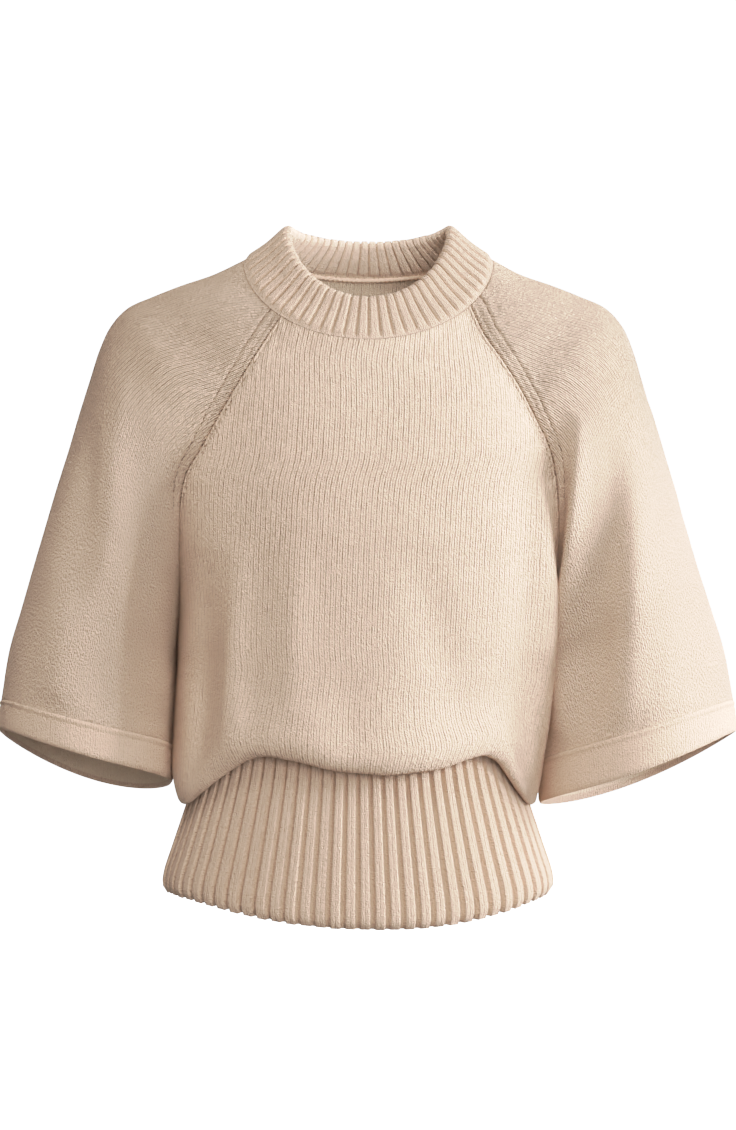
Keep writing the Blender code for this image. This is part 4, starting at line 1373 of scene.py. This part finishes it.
def knit_group():
    """Wales, stitches and grain as a height, with the valleys as a mask of painted shade and a
    mottle.
    """
    tree, given, result = group(
        "Knit",
        [("Place", "Vector"), ("Clear", "Float"), ("Wale", "Float"), ("Wander", "Float"),
         ("Stitch", "Float"), ("Grain", "Float")],
        [("Height", "Float"), ("Painted shade and grain", "Float")],
    )
    split = tree.nodes.new("ShaderNodeSeparateXYZ")
    tree.links.new(given["Place"], split.inputs[0])
    # the wales bend a little
    bend = minus(tree, noise(tree, given["Place"], 60.0, 2.0), 0.5)
    bend = times(tree, bend, given["Wander"])
    across = maths(tree, "DIVIDE", plus(tree, split.outputs["X"], bend), given["Wale"])
    # nothing in a valley and one on a wale; the wale's own middle is a fainter line
    ridge = times(tree, maths(tree, "PINGPONG", across, 0.5), 2.0)
    valley = minus(tree, 1.0, rise(tree, ridge, 0.0, 0.38))
    valley = plus(tree, valley, times(tree, rise(tree, ridge, 0.66, 1.0), 0.5))
    # the valleys are broken by patches
    broken = rise(tree, streaks(tree, given["Place"], 270.0, 85.0, 2.0), 0.36, 0.62)
    broken = plus(tree, times(tree, broken, 0.4), 0.6)
    valley = times(tree, times(tree, valley, broken), given["Clear"])
    # the legs of the stitches, and the grain of the yarn
    legs = minus(tree, streaks(tree, given["Place"], 1000.0, 330.0, 2.0), 0.5)
    legs = times(tree, legs, given["Stitch"])
    grain = minus(tree, noise(tree, given["Place"], 900.0, 2.0), 0.5)
    grain = times(tree, grain, given["Grain"])
    rough = plus(tree, legs, grain)
    tree.links.new(minus(tree, rough, valley), result["Height"])
    # the valleys also go out as painted shade, with a mottle from the stitches and the grain
    spots = times(tree, rough, -0.35)
    tree.links.new(plus(tree, valley, spots), result["Painted shade and grain"])
    return tree


KNIT = knit_group()
print("node group:", KNIT.name)

# %% [markdown]
# ## The linking of the raglans
# A raglan shows two dashed lines along its seam and a third one down the sleeve, where stitches
# were moved. The group draws them from the distance to the seam and the run down it, both noted on
# the points. Between the lines it puts flecks and slanted stitches, which stand for the chain.


# %% Raglan linking
def linking_group():
    """Dashes along the raglan seam and its groove, and the slanted chain beside the seam."""
    tree, given, result = group(
        "Raglan linking",
        [("Beside", "Float"), ("Run", "Float")],
        [("Holes", "Float"), ("Line", "Float"), ("Chain", "Float")],
    )
    place = tree.nodes.new("ShaderNodeCombineXYZ")
    tree.links.new(given["Beside"], place.inputs["X"])
    tree.links.new(given["Run"], place.inputs["Y"])
    place = place.outputs[0]
    # no line is quite straight, and all fade towards the underarm
    ragged = minus(tree, noise(tree, place, 150.0, 2.0), 0.5)
    strong = minus(tree, 1.0, rise(tree, given["Run"], 0.165, 0.215))
    # the seam itself
    dashes = rise(tree, streaks(tree, place, 90.0, 300.0, 1.0), 0.42, 0.58)
    apart = plus(tree, given["Beside"], times(tree, ragged, 0.0016))
    seam = times(tree, bell(tree, apart, 0.00065), plus(tree, dashes, 0.20))
    # the groove on the sleeve, which nears the seam as it goes down
    groove = tree.nodes.new("ShaderNodeMapRange")
    tree.links.new(given["Run"], groove.inputs["Value"])
    groove.inputs["From Max"].default_value = 0.19
    groove.inputs["To Min"].default_value = 0.0125
    groove.inputs["To Max"].default_value = 0.0070
    aside = plus(tree, given["Beside"], times(tree, ragged, 0.0032))
    aside = minus(tree, aside, groove.outputs["Result"])
    loose = rise(tree, streaks(tree, place, 120.0, 330.0, 1.0), 0.40, 0.60)
    dashed = times(tree, bell(tree, aside, 0.0006), plus(tree, loose, 0.35))
    # its twin on the body
    twin = bell(tree, plus(tree, apart, 0.0033), 0.00055)
    twin = times(tree, twin, times(tree, loose, 0.75))
    holes = maths(tree, "MAXIMUM", seam, times(tree, dashed, 0.80))
    holes = maths(tree, "MAXIMUM", holes, twin)
    tree.links.new(times(tree, holes, strong), result["Holes"])
    tree.links.new(bell(tree, given["Beside"], 0.0006), result["Line"])
    # the slanted chain on both sides of the seam
    off = maths(tree, "ABSOLUTE", given["Beside"])
    slant = minus(tree, given["Run"], times(tree, off, 0.9))
    slant = plus(tree, slant, times(tree, ragged, 0.009))
    twist = times(tree, maths(tree, "SINE", times(tree, slant, 1500.0)), 0.25)
    flecks = minus(tree, streaks(tree, place, 750.0, 300.0, 2.0), 0.5)
    twist = plus(tree, twist, times(tree, flecks, 4.5))
    near = bell(tree, minus(tree, off, 0.0040), 0.0036)
    chain = times(tree, times(tree, twist, near), strong)
    tree.links.new(chain, result["Chain"])
    return tree


LINKING = linking_group()
print("node group:", LINKING.name)

# %% [markdown]
# ## Yarn
# The yarn is matte and a little hairy, so the shader has a soft sheen and no gloss. Its colour is
# a warm beige, and it is painted browner in the valleys as painted shade, where little light
# gets in and light bounces from yarn to yarn. All pieces are the one yarn, but their colours are
# copies painted lighter or darker as painted light and shade: the ribbed bands, whose deep ribs
# shade themselves, and the cuffs are darker, and the sleeves and the collar's inside lighter.

# %% Yarn colours and shader
YARN = (0.875, 0.622, 0.462, 1.0)
# painted light: the same yarn, painted lighter on the sleeves
YARN_SLEEVE_PAINTED_LIGHT = (0.93, 0.658, 0.485, 1.0)
# painted shade: the same yarn, painted darker on the cuffs
YARN_HEM_PAINTED_SHADE = (0.73, 0.515, 0.382, 1.0)
# painted light: the purl side's colour is raised to lift the shaded inside of the shells
YARN_INSIDE_PAINTED_LIGHT = (0.82, 0.63, 0.475, 1.0)
# painted shade: the collar's yarn is painted darker for the shade its deep ribs cast on themselves
YARN_COLLAR_PAINTED_SHADE = (0.52, 0.366, 0.272, 1.0)
# painted light: the inside of the collar is painted much lighter than its outside, for light
# reaching into the neck
YARN_COLLAR_INSIDE_PAINTED_LIGHT = (0.93, 0.69, 0.53, 1.0)
# painted shade: the waistband's yarn is painted darker for the shade its deep ribs cast on
# themselves
YARN_RIB_PAINTED_SHADE = (0.54, 0.381, 0.284, 1.0)
# painted shade: the brown that valleys, seams and creases are darkened towards; the linking holes
# use it too
YARN_PAINTED_SHADE_AND_MARKS = (0.34, 0.20, 0.115, 1.0)


def yarn(name, colour, wale, wander, stitch, grain, depth, valley_shade_and_grain, linked=False):
    """A knitted finish: sizes in metres, and how strongly the valleys get painted shade."""
    material = bpy.data.materials.new(name)
    material.use_nodes = True
    tree = material.node_tree
    shader = tree.nodes["Principled BSDF"]
    shader.inputs["Roughness"].default_value = 0.88
    shader.inputs["Specular IOR Level"].default_value = 0.18
    shader.inputs["Sheen Weight"].default_value = 0.14
    shader.inputs["Sheen Roughness"].default_value = 0.55
    shader.inputs["Sheen Tint"].default_value = (1.0, 0.93, 0.86, 1.0)
    knit = tree.nodes.new("ShaderNodeGroup")
    knit.node_tree = KNIT
    uv = tree.nodes.new("ShaderNodeUVMap")
    uv.uv_map = "knit"
    tree.links.new(uv.outputs[0], knit.inputs["Place"])
    tree.links.new(attribute(tree, "clear"), knit.inputs["Clear"])
    for label, value in (("Wale", wale), ("Wander", wander), ("Stitch", stitch), ("Grain", grain)):
        knit.inputs[label].default_value = value
    # painted shade: the knit's valleys darken the colour, with the grain as a mottle
    dark = times(tree, knit.outputs["Painted shade and grain"], valley_shade_and_grain)
    # painted shade noted on the points darkens the colour towards the shade colour
    dark = maths(tree, "MAXIMUM", dark, times(tree, attribute(tree, "painted_shade"), 0.6))
    height = knit.outputs["Height"]
    if linked:
        linking = tree.nodes.new("ShaderNodeGroup")
        linking.node_tree = LINKING
        tree.links.new(attribute(tree, "beside"), linking.inputs["Beside"])
        tree.links.new(attribute(tree, "run"), linking.inputs["Run"])
        holes = linking.outputs["Holes"]
        line = times(tree, linking.outputs["Line"], 0.35)
        dark = maths(tree, "MAXIMUM", dark, maths(tree, "MAXIMUM", holes, line))
        dark = minus(tree, dark, times(tree, linking.outputs["Chain"], 0.20))
        height = minus(tree, height, times(tree, holes, 1.0))
        height = plus(tree, height, times(tree, linking.outputs["Chain"], 0.80))
    mottle = minus(tree, noise(tree, uv.outputs[0], 11.0, 3.0), 0.5)
    dark = plus(tree, dark, times(tree, mottle, 0.07))
    mix = tree.nodes.new("ShaderNodeMix")
    mix.data_type = "RGBA"
    mix.clamp_factor = True
    mix.inputs["A"].default_value = colour
    mix.inputs["B"].default_value = YARN_PAINTED_SHADE_AND_MARKS
    tree.links.new(dark, mix.inputs["Factor"])
    tree.links.new(mix.outputs["Result"], shader.inputs["Base Color"])
    bump = tree.nodes.new("ShaderNodeBump")
    bump.inputs["Distance"].default_value = depth
    tree.links.new(height, bump.inputs["Height"])
    tree.links.new(bump.outputs[0], shader.inputs["Normal"])
    return material


print("the yarn goes from", YARN[:3], "on the face to", YARN_PAINTED_SHADE_AND_MARKS[:3], "in a valley")

# %% [markdown]
# ## Finishes
# Panels, sleeves, ribs and hems share the yarn and differ in their stitches: how wide a wale is
# and how far it wanders, in metres, how strongly stitches and grain stand out, how deep the relief
# is, and how much painted shade its valleys get. Their colours are lighter or darker copies of the
# one yarn, as painted light and shade. Only panels and sleeves carry the raglan's linking.

# %% Finishes
FINISHES = {
    "stockinette": dict(colour=YARN, wale=0.0043, wander=0.0005, stitch=2.1, grain=1.1,
                        depth=0.0023, valley_shade_and_grain=0.78, linked=True),
    "sleeve knit": dict(colour=YARN_SLEEVE_PAINTED_LIGHT, wale=0.0035, wander=0.0012, stitch=4.2, grain=1.6,
                        depth=0.0024, valley_shade_and_grain=0.36, linked=True),
    "purl side": dict(colour=YARN_INSIDE_PAINTED_LIGHT, wale=0.0034, wander=0.0030, stitch=1.1, grain=2.6,
                      depth=0.0008, valley_shade_and_grain=0.20),
    "ribbing": dict(colour=YARN_RIB_PAINTED_SHADE, wale=BAND_PITCH / 3, wander=0.0004, stitch=1.8, grain=1.5,
                    depth=0.0010, valley_shade_and_grain=0.40),
    "collar ribbing": dict(colour=YARN_COLLAR_PAINTED_SHADE, wale=COLLAR_PITCH / 3, wander=0.0003, stitch=2.2,
                           grain=1.8, depth=0.0011, valley_shade_and_grain=0.40),
    "collar inside": dict(colour=YARN_COLLAR_INSIDE_PAINTED_LIGHT, wale=COLLAR_PITCH / 3, wander=0.0003,
                          stitch=2.2, grain=1.8, depth=0.0011, valley_shade_and_grain=0.40),
    "sleeve hem": dict(colour=YARN_HEM_PAINTED_SHADE, wale=0.0042, wander=0.0010, stitch=2.4, grain=1.6,
                       depth=0.0012, valley_shade_and_grain=0.55),
    "neck chain": dict(colour=YARN, wale=0.0040, wander=0.0, stitch=0.5, grain=0.5, depth=0.0003,
                       valley_shade_and_grain=0.1),
}
finishes = {name: yarn(name, **look) for name, look in FINISHES.items()}
# finish of the outside and of the inside of each piece
FACES = {
    "front": ("stockinette", "purl side"),
    "back": ("stockinette", "purl side"),
    "sleeve_left": ("sleeve knit", "purl side"),
    "sleeve_right": ("sleeve knit", "purl side"),
    "collar": ("collar ribbing", "collar inside"),
    "waistband": ("ribbing", "purl side"),
    "cuff_left": ("sleeve hem", "purl side"),
    "cuff_right": ("sleeve hem", "purl side"),
    "neck_chain": ("neck chain",),
}
for name, sides in FACES.items():
    for finish in sides:
        pieces[name].data.materials.append(finishes[finish])
print("finishes:", ", ".join(finishes))

# %% [markdown]
# ## Tie the pieces to the frame
# Each cloth piece replaces its solid of the frame and moves with it.


def cloth_area(piece):
    """Half of a closed shell's surface, which is the area of its cloth, in square metres."""
    areas = np.empty(len(piece.data.polygons))
    piece.data.polygons.foreach_get("area", areas)
    return float(areas.sum()) / 2


for name, piece in pieces.items():
    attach(piece, "root")
    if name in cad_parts:
        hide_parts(name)
        area = cloth_area(piece)
        print(name, "cloth", round(area, 4), "m2")

# %% [markdown]

# %% [markdown]
# ## Floor
# The picture is taken in a white studio. The floor lies below the picture's edge. It glows white
# and sends no soft light of its own onto the cloth, so the sweater's shade stays as deep as in the
# picture. It belongs to the stage and not to the part.

# %% Studio floor
FLOOR_Z = -0.78
FLOOR_GLOW = 2.4
bpy.ops.mesh.primitive_circle_add(vertices=96, radius=6.0, fill_type="NGON",
                                  location=(0, 0, FLOOR_Z))
floor = bpy.context.object
floor.name = "floor"
floor_paint = bpy.data.materials.new("floor paint")
floor_paint.use_nodes = True
floor_shader = floor_paint.node_tree.nodes["Principled BSDF"]
floor_shader.inputs["Base Color"].default_value = (0.92, 0.92, 0.92, 1.0)
floor_shader.inputs["Roughness"].default_value = 0.9
floor_shader.inputs["Emission Color"].default_value = (1.0, 1.0, 1.0, 1.0)
floor_shader.inputs["Emission Strength"].default_value = FLOOR_GLOW
floor.data.materials.append(floor_paint)
floor.visible_diffuse = False
print("the floor lies at", FLOOR_Z, "m")

# %% [markdown]
# ## Lights
# A strong soft light stands to the right, just ahead of the sweater, and grazes it: it models the
# folds and the ribs, and leaves the left side in warm shade. A large light in front fills, one
# above lights the shoulders, a weak one on the left keeps the shade open, and one behind shows the
# back when the sweater is turned. The whole room adds a little warm light.

# %% Studio lights
# place, aim, size, power and colour of each light
LIGHTS = {
    "key": ((2.2, -0.42, 0.3), (0.0, 0.0, -0.25), 0.9, 172.0, (1.0, 0.975, 0.97)),
    "front": ((0.9, -3.1, 0.4), (0.0, 0.0, -0.25), 2.2, 118.0, (1.0, 0.985, 0.975)),
    "top": ((-0.3, -1.3, 1.9), (0.0, 0.0, -0.05), 1.2, 48.0, (1.0, 0.97, 0.95)),
    "left": ((-2.3, -1.2, 0.3), (0.0, 0.0, -0.25), 1.2, 3.5, (1.0, 0.90, 0.80)),
    "behind": ((-0.6, 2.9, 0.8), (0.0, 0.0, -0.25), 2.0, 46.0, (1.0, 0.99, 0.98)),
}


def soft_light(name, place, aim, size, power, colour):
    """A large square light that points at a spot."""
    lamp = bpy.data.lights.new(name, "AREA")
    lamp.energy = power
    lamp.size = size
    lamp.color = colour
    holder = bpy.data.objects.new(name, lamp)
    holder.location = place
    away = np.array(place) - np.array(aim)
    turn = np.arctan2(away[1], away[0]) + np.pi / 2
    tip = np.arctan2(np.hypot(away[0], away[1]), away[2])
    holder.rotation_euler = (tip, 0.0, turn)
    bpy.context.scene.collection.objects.link(holder)
    return holder


for name, light in LIGHTS.items():
    soft_light(name, *light)
print("lights:", ", ".join(LIGHTS))

# %% [markdown]
# ## Room and film
# The world gives the cloth a faint warm light, and the camera sees plain white behind it. Bright
# tones are squeezed by a curve, as on film, because otherwise the lit side would burn out.

# %% Room and film
WHITE_LEVEL = 2.4
ROOM_GLOW = 0.18
BACKGROUND_GLOW = 2.6
# how bright a light on the scene looks in the picture
TONES = ((0.2, 0.2), (0.41, 0.40), (0.68, 0.575), (0.96, 0.73), (1.38, 0.85), (1.95, 0.956))

world = bpy.data.worlds.new("studio")
bpy.context.scene.world = world
world.use_nodes = True
sky = world.node_tree.nodes["Background"]
sky.inputs["Color"].default_value = (1.0, 0.90, 0.79, 1.0)
sky.inputs["Strength"].default_value = ROOM_GLOW
seen = world.node_tree.nodes.new("ShaderNodeBackground")
seen.inputs["Color"].default_value = (1.0, 1.0, 1.0, 1.0)
seen.inputs["Strength"].default_value = BACKGROUND_GLOW
rays = world.node_tree.nodes.new("ShaderNodeLightPath")
choose = world.node_tree.nodes.new("ShaderNodeMixShader")
room_links = world.node_tree.links
room_links.new(rays.outputs["Is Camera Ray"], choose.inputs["Fac"])
room_links.new(sky.outputs[0], choose.inputs[1])
room_links.new(seen.outputs[0], choose.inputs[2])
room_links.new(choose.outputs[0], world.node_tree.nodes["World Output"].inputs["Surface"])
view = bpy.context.scene.view_settings
view.view_transform = "Standard"
view.use_curve_mapping = True
view.curve_mapping.white_level = (WHITE_LEVEL, WHITE_LEVEL, WHITE_LEVEL)
curve = view.curve_mapping.curves[3]
for light, shown in TONES:
    curve.points.new(light / WHITE_LEVEL, shown)
view.curve_mapping.update()
print("white is a light of", WHITE_LEVEL)

# %% [markdown]
# ## Camera
# The camera stands straight ahead, far enough for a mild perspective. Its lens is worked out from
# the size of one pixel at the middle of the body, so that a millimetre there is as large as in the
# picture. The origin of the part is at the picture's point (368.5, 272).

# %% Camera
PHOTO_HEIGHT = 1130
PHOTO_ORIGIN_Y = 272
METRES_PER_PIXEL = 0.00085
CAMERA_DISTANCE = 2.4
camera_data = bpy.data.cameras.new("camera")
camera = bpy.data.objects.new("camera", camera_data)
bpy.context.scene.collection.objects.link(camera)
middle = PHOTO_ORIGIN_Y - PHOTO_HEIGHT / 2
camera.location = (-0.5 * METRES_PER_PIXEL, -CAMERA_DISTANCE, middle * METRES_PER_PIXEL)
camera.rotation_euler = (np.pi / 2, 0.0, 0.0)
camera_data.sensor_fit = "VERTICAL"
camera_data.sensor_height = 24.0
camera_data.lens = 24.0 * CAMERA_DISTANCE / (PHOTO_HEIGHT * METRES_PER_PIXEL)
bpy.context.scene.camera = camera
print("lens:", round(camera_data.lens, 1), "mm")
